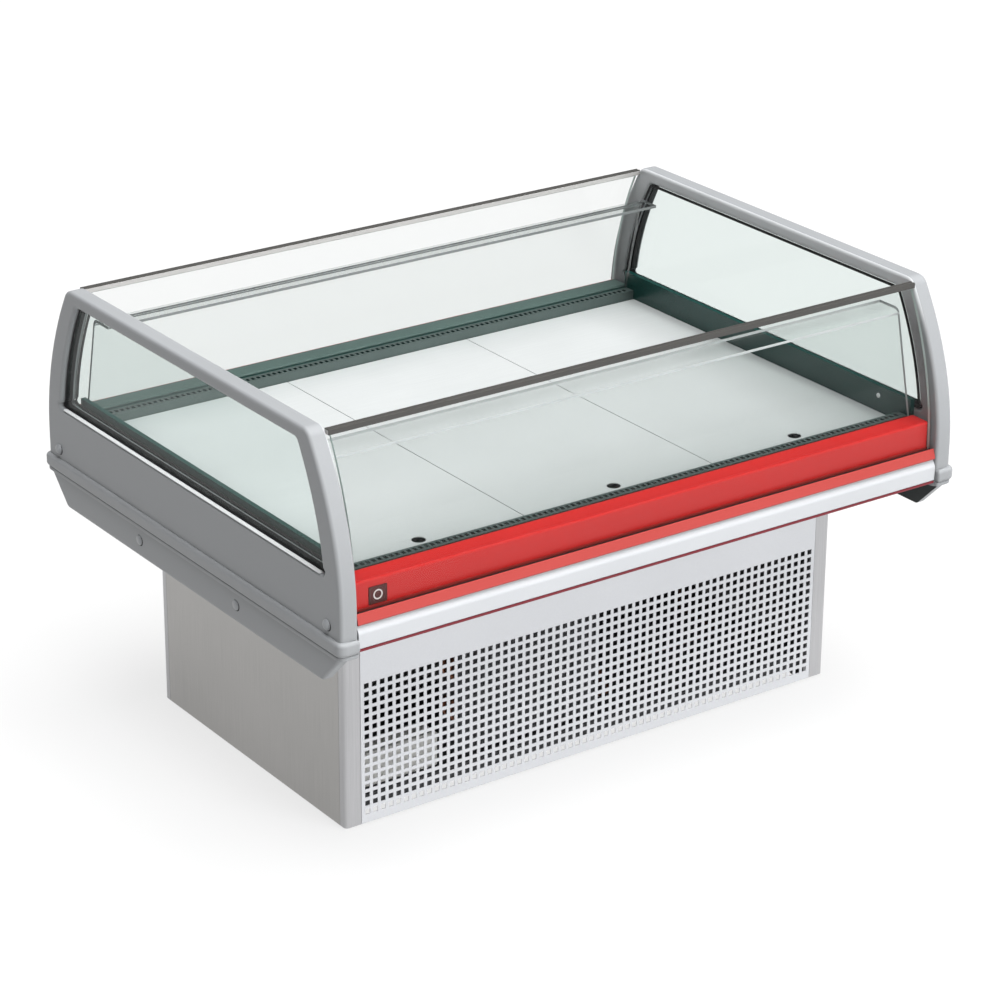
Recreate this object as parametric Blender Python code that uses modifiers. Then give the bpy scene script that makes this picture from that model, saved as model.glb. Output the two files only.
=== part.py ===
"""Refrigerated open display case on a plinth, with glass all round and an open top.

Metres, +Z up. The origin is the centre of the footprint on the floor, +X runs along the
length and the customer's front faces -Y. Front and rear are mirror images.
"""
import math

import bmesh
import bpy
from mathutils import Matrix, Vector

# Overall shape
HALF_LENGTH = 0.625          # outer faces of the end panels
HEIGHT = 0.765
PANEL_INNER = 0.592          # inner faces of the end panels
PANEL_BELLY = 0.4685         # widest point of an end panel, from the middle
PANEL_LEAN = 1.12            # how fast a post leans inwards above LEAN_START
LEAN_START = 0.483
PANEL_BOTTOM = 0.355
SKIRT_INNER = 0.607          # the panel is hollow behind its skirt, up to HOLLOW_TOP
HOLLOW_TOP = 0.4085
BAND_STEPS = ((0.4105, 0.4180, 0.0045), (0.4175, 0.4415, 0.0075))     # bottom, top, reach

# Window in each end panel
WINDOW_BELLY = 0.4225
WINDOW_LEAN = 1.12
WINDOW_BOTTOM = 0.537
WINDOW_TOP = 0.741
GASKET_WIDTH = 0.004

# Insulated tank
TANK_HALF_LENGTH = 0.5914
TANK_BOTTOM = 0.3575
TANK_FLOOR = 0.397
TANK_TOP = 0.5205
TANK_OUTER = 0.4405
TANK_INNER = 0.3985
WELL_HALF_LENGTH = 0.582
END_WALL_TOP = 0.553
DECK_TOP = 0.5055
DECK_EDGE = 0.3757

# Glass, guards and rails
GLASS_BELLY = 0.4516
GLASS_LEAN = 0.92
GLASS_THICKNESS = 0.005
GLASS_BOTTOM = 0.4702
GLASS_TOP = 0.749
GUARD_FOOT = 0.4029
GUARD_TOP = 0.707
GUARD_LEDGE = (0.362, 0.315)
RAIL_HEIGHT = 0.760

# Plinth
BASE_HALF_LENGTH = 0.510
BASE_HALF_DEPTH = 0.294
BASE_GAP = 0.004             # skirt panels stop this far above the floor
POST_WIDTH = 0.031
TUBE = 0.025                 # square tube of the frame
FRAME_X, FRAME_Y = 0.4975, 0.2755
FOOT_X, FOOT_Y = 0.485, 0.2595
GRILLE_TOP = 0.340
SHEET = 0.0015
GAP = 0.0004

# Machinery
COMPRESSOR = (0.24, 0.05)
CONDENSER_X = (-0.270, 0.030)
FAN_CENTRE = (-0.12, -0.185, 0.178)
EVAPORATOR_X = (-0.50, 0.38)
EVAPORATOR_FANS = (-0.25, 0.25)
EVAPORATOR_FAN_Z = 0.4505
PIPE_HOLE = (0.430, 0.115)
DRAIN = (-0.24, 0.11)
CONTROLS = (-0.13, 0.27)     # y and z of the control panel on the right side
INLET = (0.19, 0.07)         # y and z of the cable gland on the right side

for old in list(bpy.data.objects):
    bpy.data.objects.remove(old, do_unlink=True)

PARTS = bpy.data.collections.new("refrigerated_display_case")
CUTTERS = bpy.data.collections.new("cutters")
bpy.context.scene.collection.children.link(PARTS)
bpy.context.scene.collection.children.link(CUTTERS)


# ---------------------------------------------------------------- materials
def material(name, colour, roughness, metallic=0.0, alpha=1.0, transmission=0.0):
    made = bpy.data.materials.new(name)
    made.use_nodes = True
    shader = made.node_tree.nodes["Principled BSDF"]
    shader.inputs["Base Color"].default_value = (*colour, 1.0)
    shader.inputs["Roughness"].default_value = roughness
    shader.inputs["Metallic"].default_value = metallic
    shader.inputs["Alpha"].default_value = alpha
    shader.inputs["Transmission Weight"].default_value = transmission
    made.diffuse_color = (*colour, alpha)
    return made


MOULDED = material("moulded_grey", (0.40, 0.41, 0.42), 0.45)
STAINLESS = material("brushed_stainless", (0.42, 0.41, 0.39), 0.35, 0.9)
ALUMINIUM = material("satin_aluminium", (0.62, 0.64, 0.66), 0.35, 0.7)
SILVER = material("silver_paint", (0.62, 0.63, 0.65), 0.45, 0.2)
RED = material("red_paint", (0.62, 0.03, 0.03), 0.35)
GLASS = material("clear_glass", (0.86, 0.95, 0.92), 0.03, 0.0, 0.25, 0.9)
ACRYLIC = material("clear_guard", (0.90, 0.96, 0.95), 0.05, 0.0, 0.25, 0.9)
RUBBER = material("black_rubber", (0.02, 0.02, 0.02), 0.7)
BUMPER = material("grey_bumper", (0.70, 0.71, 0.73), 0.4)
RAIL = material("bronze_anodised", (0.20, 0.185, 0.17), 0.4, 0.6)
TANK_GREEN = material("tank_green", (0.012, 0.07, 0.06), 0.4)
DECK = material("deck_sheet", (0.48, 0.50, 0.50), 0.35, 0.8)
GRID = material("air_grid", (0.07, 0.09, 0.085), 0.5, 0.3)
BLACK = material("black_paint", (0.015, 0.015, 0.016), 0.4)
COPPER = material("copper_tube", (0.60, 0.28, 0.16), 0.3, 1.0)
FINS = material("fin_stack", (0.55, 0.57, 0.58), 0.4, 0.9)
GALVANISED = material("galvanised_sheet", (0.45, 0.46, 0.47), 0.5, 0.8)
PLASTIC = material("dark_plastic", (0.03, 0.03, 0.035), 0.5)
PALE = material("pale_plastic", (0.60, 0.60, 0.58), 0.5)


# ------------------------------------------------------------------ helpers
def place(name, data, made_of, collection=None):
    obj = bpy.data.objects.new(name, data)
    (collection or PARTS).objects.link(obj)
    if made_of:
        data.materials.append(made_of)
    if collection is CUTTERS:
        obj.hide_render = True
        obj.display_type = "WIRE"
    return obj


def mesh_object(name, bm, made_of, collection=None, origin=(0.0, 0.0, 0.0)):
    """Turns the bmesh into an object whose own origin is at the given point."""
    bmesh.ops.translate(bm, verts=bm.verts, vec=-Vector(origin))
    bmesh.ops.recalc_face_normals(bm, faces=bm.faces)
    mesh = bpy.data.meshes.new(name)
    bm.to_mesh(mesh)
    bm.free()
    obj = place(name, mesh, made_of, collection)
    obj.location = origin
    return obj


def add_box(bm, low, high):
    centre = (Vector(low) + Vector(high)) / 2
    size = Vector(high) - Vector(low)
    bmesh.ops.create_cube(bm, size=1.0, matrix=Matrix.Translation(centre) @ Matrix.Diagonal((*size, 1.0)))


def add_cylinder(bm, centre, radius, length, axis, sides=24, far_radius=None):
    """A cylinder or cone about X, Y or Z, centred on the given point."""
    turn = {
        "X": Matrix.Rotation(math.pi / 2, 4, "Y"),
        "Y": Matrix.Rotation(-math.pi / 2, 4, "X"),
        "Z": Matrix.Identity(4),
    }[axis]
    bmesh.ops.create_cone(
        bm,
        cap_ends=True,
        segments=sides,
        radius1=radius,
        radius2=radius if far_radius is None else far_radius,
        depth=length,
        matrix=Matrix.Translation(centre) @ turn,
    )


def box(name, low, high, made_of, bevel=0.0, collection=None, origin=(0.0, 0.0, 0.0)):
    bm = bmesh.new()
    add_box(bm, low, high)
    obj = mesh_object(name, bm, made_of, collection, origin)
    if bevel:
        rounded = obj.modifiers.new("edges", "BEVEL")
        rounded.width = bevel
        rounded.segments = 1
    return obj


def cylinder(name, centre, radius, length, axis, made_of, collection=None, sides=24, origin=(0.0, 0.0, 0.0)):
    bm = bmesh.new()
    add_cylinder(bm, centre, radius, length, axis, sides)
    return mesh_object(name, bm, made_of, collection, origin)


def boolean(obj, other, operation):
    step = obj.modifiers.new(operation.lower(), "BOOLEAN")
    step.operation = operation
    step.solver = "EXACT"
    step.object = other
    return step


def join(obj, *others):
    for other in others:
        boolean(obj, other, "UNION")
    return obj


def cut(obj, *others):
    for other in others:
        boolean(obj, other, "DIFFERENCE")
    return obj


def smooth(obj, degrees=35):
    obj.data.shade_smooth()
    obj.data.set_sharp_from_angle(angle=math.radians(degrees))
    return obj


def prism(name, loops, low, high, made_of, axis="X", rounding=0.0, collection=None):
    """A flat outline of one or more loops, carried from low to high along X or Z.

    Along X a loop's points are (y, z); along Z they are (x, y). The edges of both ends can
    be rounded. It comes back as a mesh whose points are where they will stay.
    """
    curve = bpy.data.curves.new(name, "CURVE")
    curve.dimensions = "2D"
    curve.fill_mode = "BOTH"
    curve.extrude = (high - low) / 2 - rounding
    curve.bevel_depth = rounding
    curve.bevel_resolution = 1
    curve.offset = -rounding
    for loop in loops:
        spline = curve.splines.new("POLY")
        spline.points.add(len(loop) - 1)
        for point, (a, b) in zip(spline.points, loop):
            point.co = (a, b, 0.0, 1.0)
        spline.use_cyclic_u = True
    flat = bpy.data.objects.new(name + "_outline", curve)
    CUTTERS.objects.link(flat)
    bpy.context.view_layer.update()
    mesh = bpy.data.meshes.new_from_object(flat.evaluated_get(bpy.context.evaluated_depsgraph_get()))
    bpy.data.objects.remove(flat)
    bpy.data.curves.remove(curve)
    mesh.name = name
    middle = (low + high) / 2
    if axis == "X":
        stand = Matrix(((0, 0, 1, middle), (1, 0, 0, 0), (0, 1, 0, 0), (0, 0, 0, 1)))
    else:
        stand = Matrix.Translation((0, 0, middle))
    mesh.transform(stand)
    bm = bmesh.new()
    bm.from_mesh(mesh)
    bmesh.ops.remove_doubles(bm, verts=bm.verts, dist=0.00001)
    bmesh.ops.recalc_face_normals(bm, faces=bm.faces)
    bm.to_mesh(mesh)
    bm.free()
    return place(name, mesh, made_of, collection)


def sheet(name, path, low, high, thickness, made_of, axis="X"):
    """A folded sheet: an open path in section, carried from low to high, then thickened."""
    def point(a, b, along):
        return (along, a, b) if axis == "X" else (a, b, along)

    bm = bmesh.new()
    verts = [bm.verts.new(point(a, b, low)) for a, b in path]
    edges = [bm.edges.new(pair) for pair in zip(verts, verts[1:])]
    made = bmesh.ops.extrude_edge_only(bm, edges=edges)
    moved = [item for item in made["geom"] if isinstance(item, bmesh.types.BMVert)]
    travel = Vector(point(0, 0, high)) - Vector(point(0, 0, low))
    bmesh.ops.translate(bm, verts=moved, vec=travel)
    obj = mesh_object(name, bm, made_of)
    shell = obj.modifiers.new("thickness", "SOLIDIFY")
    shell.thickness = thickness
    shell.offset = 0.0
    shell.use_even_offset = True
    return obj


def turned(name, profile, centre, axis, made_of, steps=24, collection=None, closed=False):
    """A turned piece: (radius, distance along the axis) pairs from top to bottom."""
    bm = bmesh.new()
    verts = [bm.verts.new((radius, 0.0, along)) for radius, along in profile]
    for pair in zip(verts, verts[1:]):
        bm.edges.new(pair)
    if closed:
        bm.edges.new((verts[-1], verts[0]))
    mesh = bpy.data.meshes.new(name)
    bm.to_mesh(mesh)
    bm.free()
    obj = place(name, mesh, made_of, collection)
    screw = obj.modifiers.new("turn", "SCREW")
    screw.steps = steps
    screw.render_steps = steps
    screw.use_merge_vertices = True
    screw.merge_threshold = 0.00005
    screw.use_smooth_shade = True
    obj.location = centre
    if axis == "X":
        obj.rotation_euler = (0.0, math.pi / 2, 0.0)
    elif axis == "Y":
        obj.rotation_euler = (-math.pi / 2, 0.0, 0.0)
    return obj


def tube(name, route, radius, made_of, bend=0.02, collection=None):
    """A bent tube through the given corners, each rounded to the bend radius."""
    points = [Vector(route[0])]
    for before, corner, after in zip(route, route[1:], route[2:]):
        here = Vector(corner)
        arriving = (here - Vector(before)).normalized()
        leaving = (Vector(after) - here).normalized()
        for step in range(5):
            share = step / 4
            first = here - arriving * bend * (1 - share)
            second = here + leaving * bend * share
            points.append(first.lerp(second, share))
    points.append(Vector(route[-1]))
    curve = bpy.data.curves.new(name, "CURVE")
    curve.dimensions = "3D"
    curve.bevel_depth = radius
    curve.bevel_resolution = 1
    curve.use_fill_caps = True
    spline = curve.splines.new("POLY")
    spline.points.add(len(points) - 1)
    for point, where in zip(spline.points, points):
        point.co = (*where, 1.0)
    return place(name, curve, made_of, collection)


def as_mesh(obj):
    """The same object with its curve made into a closed mesh, ready to be joined."""
    bpy.context.view_layer.update()
    mesh = bpy.data.meshes.new_from_object(obj.evaluated_get(bpy.context.evaluated_depsgraph_get()))
    bm = bmesh.new()
    bm.from_mesh(mesh)
    bmesh.ops.remove_doubles(bm, verts=bm.verts, dist=0.00001)
    bmesh.ops.recalc_face_normals(bm, faces=bm.faces)
    bm.to_mesh(mesh)
    bm.free()
    name, world = obj.name, obj.matrix_world.copy()
    collection = obj.users_collection[0]
    bpy.data.objects.remove(obj)
    solid = place(name, mesh, None, None if collection is PARTS else collection)
    solid.matrix_world = world
    return solid


def leaning(belly, lean, height):
    """Distance from the middle of a post or pane that leans inwards as it rises."""
    return belly - lean * max(0.0, height - LEAN_START) ** 2


def leaning_side(belly, lean, start, join_height, top, steps=6, corner_steps=4):
    """Points up the +Y side of a leaning outline, ending where its rounded corner turns flat."""
    points = []
    for step in range(steps + 1):
        height = start + (join_height - start) * step / steps
        points.append((leaning(belly, lean, height), height))
    slope = 2 * lean * (join_height - LEAN_START)
    along = Vector((1.0, slope)).normalized()
    last = Vector(points[-1])
    radius = (top - last.y) / (1 - along.y)
    centre = last - along * radius
    first_angle = math.atan2(along.y, along.x)
    for step in range(1, corner_steps + 1):
        angle = first_angle + (math.pi / 2 - first_angle) * step / corner_steps
        points.append((centre.x + radius * math.cos(angle), centre.y + radius * math.sin(angle)))
    return points


def mirrored(half):
    """Closes an outline that is symmetric about the middle from the points of its +Y half."""
    return half + [(-a, b) for a, b in reversed(half)]


def window_outline(inset):
    half = [
        (WINDOW_BELLY - inset - 0.010, WINDOW_BOTTOM + inset),
        (WINDOW_BELLY - inset - 0.003, WINDOW_BOTTOM + inset + 0.003),
    ]
    side = leaning_side(
        WINDOW_BELLY - inset, WINDOW_LEAN, WINDOW_BOTTOM + inset + 0.010, 0.735 - inset, WINDOW_TOP - inset
    )
    return mirrored(half + side)


# ------------------------------------------------------------------- plinth
def base_frame():
    """Welded square tube: a bottom ring, four uprights and a top ring, bored for the feet."""
    x, y = FRAME_X, FRAME_Y
    bars = []
    for low in (0.020, TANK_BOTTOM - TUBE - GAP):
        high = low + TUBE
        for side in (-1, 1):
            a, b = sorted((side * y, side * (y - TUBE)))
            bars.append(((-x, a, low), (x, b, high)))
            a, b = sorted((side * x, side * (x - TUBE)))
            bars.append(((a, -y, low), (b, y, high)))
    for sx in (-1, 1):
        for sy in (-1, 1):
            x0, x1 = sorted((sx * x, sx * (x - TUBE)))
            y0, y1 = sorted((sy * y, sy * (y - TUBE)))
            bars.append(((x0, y0, 0.021), (x1, y1, TANK_BOTTOM - 0.002)))
    frame = box("base_frame", *bars[0], GALVANISED)
    for index, bar in enumerate(bars[1:]):
        join(frame, box(f"frame_bar_{index}", *bar, None, collection=CUTTERS))
    for sx in (-1, 1):
        for sy in (-1, 1):
            bore = cylinder("foot_bore", (sx * FOOT_X, sy * FOOT_Y, 0.030), 0.0056, 0.036, "Z", None, CUTTERS, 12)
            cut(frame, bore)


def feet():
    profile = ((0.0, 0.044), (0.005, 0.044), (0.005, 0.010), (0.010, 0.009), (0.0175, 0.006), (0.0175, 0.0), (0.0, 0.0))
    for name, sx, sy in (("fl", -1, -1), ("fr", 1, -1), ("rl", -1, 1), ("rr", 1, 1)):
        turned("foot_" + name, profile, (sx * FOOT_X, sy * FOOT_Y, 0.0), "Z", RUBBER, 16)


def base_tray():
    """Sheet floor of the machine compartment, notched round the uprights."""
    x, y, notch = FRAME_X - 0.0015, FRAME_Y - 0.0015, TUBE + 0.001
    corners = [(x - notch, -y), (x - notch, -y + notch), (x, -y + notch)]
    right = corners + [(a, -b) for a, b in reversed(corners)]
    outline = right + [(-a, b) for a, b in reversed(right)]
    prism("base_tray", [outline], 0.0455, 0.0470, GALVANISED, "Z")


def corner_posts():
    x0, x1 = BASE_HALF_LENGTH - POST_WIDTH, BASE_HALF_LENGTH
    y0, y1, radius = BASE_HALF_DEPTH - 0.0165, BASE_HALF_DEPTH, 0.009
    outline = [(x0, y1), (x0, y0), (x1, y0)]
    for step in range(5):
        angle = math.pi / 2 * step / 4
        outline.append((x1 - radius + radius * math.cos(angle), y1 - radius + radius * math.sin(angle)))
    for name, sx, sy in (("fl", -1, -1), ("fr", 1, -1), ("rl", -1, 1), ("rr", 1, 1)):
        loop = [(sx * a, sy * b) for a, b in outline]
        smooth(prism("corner_post_" + name, [loop], BASE_GAP, TANK_BOTTOM - GAP, ALUMINIUM, "Z"))


def side_panels():
    """Brushed sheets with folded edges; the right one is cut for the controls and the inlet."""
    y, deep = BASE_HALF_DEPTH - 0.0178, 0.010
    x = BASE_HALF_LENGTH - SHEET / 2
    for name, side in (("left", -1), ("right", 1)):
        path = [(side * (x - deep), -y), (side * x, -y), (side * x, y), (side * (x - deep), y)]
        panel = sheet("side_panel_" + name, path, BASE_GAP, TANK_BOTTOM - GAP, SHEET, STAINLESS, "Z")
        if side > 0:
            cy, cz = CONTROLS
            low = (x - 0.010, cy - 0.0722, cz - 0.0272)
            high = (x + 0.010, cy + 0.0722, cz + 0.0272)
            cut(panel, box("control_cut", low, high, None, collection=CUTTERS))
            cut(panel, cylinder("gland_cut", (x, *INLET), 0.009, 0.02, "X", None, CUTTERS, 16))


def plinth_grilles():
    """Vent panels hung between the corner posts, folded back along their sides."""
    x, deep = BASE_HALF_LENGTH - POST_WIDTH - 0.0013, 0.010
    y = BASE_HALF_DEPTH - SHEET / 2
    for name, side in (("front_grille", -1), ("rear_grille", 1)):
        path = [(-x, side * (y - deep)), (-x, side * y), (x, side * y), (x, side * (y - deep))]
        sheet(name, path, BASE_GAP, GRILLE_TOP, SHEET, SILVER, "Z")


# ---------------------------------------------------------------- machinery
def compressor():
    """A hermetic pot on a bent foot plate, with rubber mounts under its corners."""
    x, y = COMPRESSOR
    pot = turned(
        "compressor",
        (
            (0.0, 0.245), (0.030, 0.243), (0.058, 0.232), (0.076, 0.212), (0.082, 0.188), (0.082, 0.150),
            (0.086, 0.148), (0.086, 0.142), (0.082, 0.140), (0.082, 0.092), (0.066, 0.070), (0.0, 0.064),
        ),
        (x, y, 0.0), "Z", BLACK, 24,
    )
    plate = box("compressor_plate", (x - 0.10, y - 0.075, 0.060), (x + 0.10, y + 0.075, 0.072), None, collection=CUTTERS)
    join(pot, plate)
    for sx in (-1, 1):
        for sy in (-1, 1):
            mount = cylinder(
                "compressor_mount", (x + sx * 0.085, y + sy * 0.060, 0.056), 0.011, 0.0174, "Z", None, CUTTERS, 12
            )
            join(pot, mount)
    cover = box("compressor_cover", (x - 0.03, y - 0.105, 0.11), (x + 0.03, y - 0.07, 0.18), None, collection=CUTTERS)
    join(pot, cover)


def condenser():
    """A finned block between two end plates, just behind the front grille."""
    left, right = CONDENSER_X
    core = box("condenser", (left, -0.262, 0.056), (right, -0.218, 0.300), FINS)
    for index, x in enumerate(CONDENSER_X):
        low, high = (x - 0.0015, -0.265, 0.0475), (x + 0.0015, -0.2155, 0.306)
        join(core, box(f"condenser_end_{index}", low, high, None, collection=CUTTERS))
    for index in range(5):
        z = 0.075 + index * 0.048
        bend = tube(
            f"condenser_bend_{index}",
            ((left + 0.01, -0.240, z), (left - 0.02, -0.240, z), (left - 0.02, -0.240, z + 0.024), (left + 0.01, -0.240, z + 0.024)),
            0.005, None, 0.012, CUTTERS,
        )
        join(core, as_mesh(bend))


def condenser_fan():
    """A shroud with its motor on four struts, and the blade that turns in it."""
    x, y, z = FAN_CENTRE
    shroud = box("condenser_fan_housing", (x - 0.125, -0.212, 0.0475), (x + 0.125, -0.2095, 0.306), BLACK)
    ring = cylinder("fan_ring", (x, y - 0.001, z), 0.110, 0.050, "Y", None, CUTTERS, 32)
    join(shroud, ring)
    cut(shroud, cylinder("fan_hole", (x, y - 0.001, z), 0.1058, 0.10, "Y", None, CUTTERS, 32))
    motor = cylinder("fan_motor", (x, y + 0.055, z), 0.034, 0.060, "Y", None, CUTTERS, 20)
    join(shroud, motor)
    for index in range(4):
        angle = math.pi / 4 + index * math.pi / 2
        bm = bmesh.new()
        add_box(bm, (0.020, 0.028, -0.004), (0.1086, 0.036, 0.004))
        add_box(bm, (0.1067, 0.012, -0.006), (0.1093, 0.035, 0.006))
        bmesh.ops.rotate(bm, verts=bm.verts, cent=(0, 0, 0), matrix=Matrix.Rotation(angle, 3, "Y"))
        bmesh.ops.translate(bm, verts=bm.verts, vec=(x, y, z))
        step = boolean(shroud, mesh_object(f"fan_strut_{index}", bm, None, CUTTERS), "UNION")
        step.use_self = True
    fan_blade("condenser_fan_blade", (x, y, z), 0.100, 0.024, 0.030, 5, 0.055, 30, BLACK)


def fan_blade(name, centre, radius, hub, length, blades, chord, pitch, made_of):
    """A hub with flat pitched blades, all about an axis along Y."""
    rotor = cylinder(name, centre, hub, length, "Y", made_of, None, 20, centre)
    for index in range(blades):
        bm = bmesh.new()
        add_box(bm, (hub * 0.7, -0.0009, -chord / 2), (radius, 0.0009, chord / 2))
        bmesh.ops.rotate(
            bm, verts=bm.verts, cent=(0, 0, 0), matrix=Matrix.Rotation(math.radians(pitch), 3, "X")
        )
        turn = Matrix.Rotation(math.tau * index / blades + 0.2, 3, "Y")
        bmesh.ops.rotate(bm, verts=bm.verts, cent=(0, 0, 0), matrix=turn)
        blade = mesh_object(f"{name}_{index}", bm, None, CUTTERS)
        blade.location = centre
        trim = turned(
            f"{name}_{index}_limit", ((0.0, length), (radius, length), (radius, -length), (0.0, -length)),
            centre, "Y", None, 32, CUTTERS,
        )
        boolean(blade, trim, "INTERSECT")
        join(rotor, blade)
    smooth(rotor)


def condensate_tray():
    x, y = DRAIN
    tray = box("condensate_tray", (x - 0.17, y - 0.11, 0.0475), (x + 0.17, y + 0.11, 0.105), PALE)
    cut(tray, box("tray_hollow", (x - 0.167, y - 0.107, 0.050), (x + 0.167, y + 0.107, 0.12), None, collection=CUTTERS))


def pipes():
    """Refrigerant lines from the condensing unit up through the tank floor to the coil."""
    x, y = COMPRESSOR
    hx, hy = PIPE_HOLE
    end = EVAPORATOR_X[1] + 0.0028
    inlet = CONDENSER_X[1] + 0.0023
    tube("discharge_pipe", ((x - 0.083, y, 0.11), (0.06, y, 0.11), (0.06, -0.24, 0.11), (inlet, -0.24, 0.11)), 0.004, COPPER)
    tube(
        "suction_pipe",
        (
            (x + 0.083, y, 0.20), (hx - 0.010, y, 0.20), (hx - 0.010, hy, 0.20), (hx - 0.010, hy, 0.440),
            (end, hy, 0.440),
        ),
        0.006, COPPER, 0.015,
    )
    line = tube(
        "liquid_line",
        (
            (inlet, -0.24, 0.07), (0.08, -0.24, 0.07), (0.08, -0.16, 0.07), (0.38, -0.16, 0.07),
            (0.38, -0.04, 0.07), (0.38, -0.04, 0.26), (hx + 0.010, -0.04, 0.26), (hx + 0.010, hy, 0.26),
            (hx + 0.010, hy, 0.425), (hx + 0.010, hy + 0.05, 0.425), (end, hy + 0.05, 0.425),
        ),
        0.003, COPPER, 0.012,
    )
    line = as_mesh(line)
    line.data.materials.append(COPPER)
    drier = turned(
        "drier", ((0.0, 0.23), (0.005, 0.23), (0.013, 0.215), (0.013, 0.125), (0.005, 0.11), (0.0, 0.11)),
        (0.38, -0.04, 0.0), "Z", None, 16, CUTTERS,
    )
    join(line, drier)


def electrical_box():
    case = box("electrical_box", (-0.468, -0.262, 0.0475), (-0.305, -0.214, 0.110), PALE, 0.003)
    lid = box("electrical_lid", (-0.464, -0.216, 0.051), (-0.309, -0.208, 0.106), None, collection=CUTTERS)
    join(case, lid)


def controls():
    """A bezel with a mains rocker and three keys, set in the right side panel."""
    y, z = CONTROLS
    face = BASE_HALF_LENGTH + GAP
    bezel = box("control_panel", (face, y - 0.080, z - 0.034), (face + 0.0032, y + 0.080, z + 0.034), PLASTIC)
    can = box("control_can", (face - 0.032, y - 0.070, z - 0.025), (face + 0.001, y + 0.070, z + 0.025), None, collection=CUTTERS)
    join(bezel, can)
    low, high = (face - 0.030, y - 0.068, z - 0.023), (face, y + 0.068, z + 0.023)
    cut(bezel, box("control_hollow", low, high, None, collection=CUTTERS))
    for index, name in enumerate(("set", "up", "down")):
        ky = y - 0.008 + index * 0.014
        kz = z - 0.012
        key = box(
            "control_key_" + name, (face - 0.0014, ky - 0.0040, kz - 0.0028), (face + 0.0046, ky + 0.0040, kz + 0.0028),
            PALE, origin=(face, ky, kz),
        )
        flange = box(
            f"key_flange_{index}", (face - 0.0024, ky - 0.0055, kz - 0.0043), (face - 0.0006, ky + 0.0055, kz + 0.0043),
            None, collection=CUTTERS,
        )
        join(key, flange)
        low, high = (face - 0.001, ky - 0.0043, kz - 0.0031), (face + 0.006, ky + 0.0043, kz + 0.0031)
        cut(bezel, box(f"key_hole_{index}", low, high, None, collection=CUTTERS))
    ry = y - 0.045
    low, high = (face - 0.001, ry - 0.0078, z - 0.0106), (face + 0.006, ry + 0.0078, z + 0.0106)
    cut(bezel, box("rocker_hole", low, high, None, collection=CUTTERS))
    rocker_switch(face - 0.0005, ry, z)


def rocker_switch(x, y, z):
    """A rocker whose two faces meet at its middle; its axis runs along Y behind the bezel."""
    tilt = math.radians(8)
    radius = 0.0100
    points = []
    for turn, reach in ((tilt, 1), (tilt, 0), (-tilt, -1)):
        points.append((0.0062 * math.cos(turn) if not reach else 0.0048 - reach * 0.0014, reach * 0.0088))
    back = [(-0.0055, -0.0062), (-0.0055, 0.0062)]
    outline = [(min(a, radius), b) for a, b in points + back]
    bm = bmesh.new()
    verts = [bm.verts.new((a, -0.0072, b)) for a, b in outline]
    face = bm.faces.new(verts)
    made = bmesh.ops.extrude_face_region(bm, geom=[face])
    bmesh.ops.translate(
        bm, verts=[item for item in made["geom"] if isinstance(item, bmesh.types.BMVert)], vec=(0.0, 0.0144, 0.0)
    )
    obj = mesh_object("mains_switch", bm, RUBBER)
    obj.location = (x, y, z)


def cable_gland():
    profile = (
        (0.0036, 0.0120), (0.0090, 0.0120), (0.0125, 0.0095), (0.0125, 0.0030), (0.0125, 0.0004),
        (0.0086, 0.0004), (0.0086, -0.0019), (0.0125, -0.0019), (0.0125, -0.0080), (0.0036, -0.0080),
    )
    turned("cable_gland", profile, (BASE_HALF_LENGTH, *INLET), "X", PLASTIC, 20, closed=True)


# --------------------------------------------------------------------- tank
def tank():
    """Foamed tub: sloping lower flanks, a drain, a pipe hole and two thin raised end walls."""
    outer = [(0.362, TANK_BOTTOM), (TANK_OUTER, 0.404), (TANK_OUTER, TANK_TOP)]
    inner = [(TANK_INNER, TANK_TOP), (TANK_INNER, 0.435), (0.360, TANK_FLOOR)]
    loop = mirrored(outer + inner)
    tub = prism("tank", [loop], -TANK_HALF_LENGTH, TANK_HALF_LENGTH, TANK_GREEN)
    end = mirrored([(0.370, 0.366), (0.4065, 0.408), (0.4065, END_WALL_TOP)])
    for index, side in enumerate((-1, 1)):
        low, high = sorted((side * (WELL_HALF_LENGTH + 0.0005), side * (TANK_HALF_LENGTH - 0.0001)))
        join(tub, prism(f"tank_end_{index}", [end], low, high, None, collection=CUTTERS))
    cut(tub, cylinder("pipe_hole", (*PIPE_HOLE, 0.375), 0.022, 0.10, "Z", None, CUTTERS, 20))
    cut(tub, cylinder("drain_hole", (*DRAIN, 0.375), 0.0135, 0.10, "Z", None, CUTTERS, 20))


def drain_pipe():
    """A flanged spout in the tank floor that drips into the tray below."""
    profile = (
        (0.0100, 0.4005), (0.0200, 0.4005), (0.0200, 0.3975), (0.0130, 0.3975), (0.0130, 0.125), (0.0100, 0.125),
    )
    turned("drain_pipe", profile, (*DRAIN, 0.0), "Z", PALE, 20, closed=True)


def evaporator():
    left, right = EVAPORATOR_X
    core = box("evaporator", (left, 0.055, 0.4025), (right, 0.225, 0.492), FINS)
    for index, x in enumerate(EVAPORATOR_X):
        low, high = (x - 0.0015, 0.050, 0.3975), (x + 0.0015, 0.230, 0.5035)
        join(core, box(f"evaporator_end_{index}", low, high, None, collection=CUTTERS))


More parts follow.
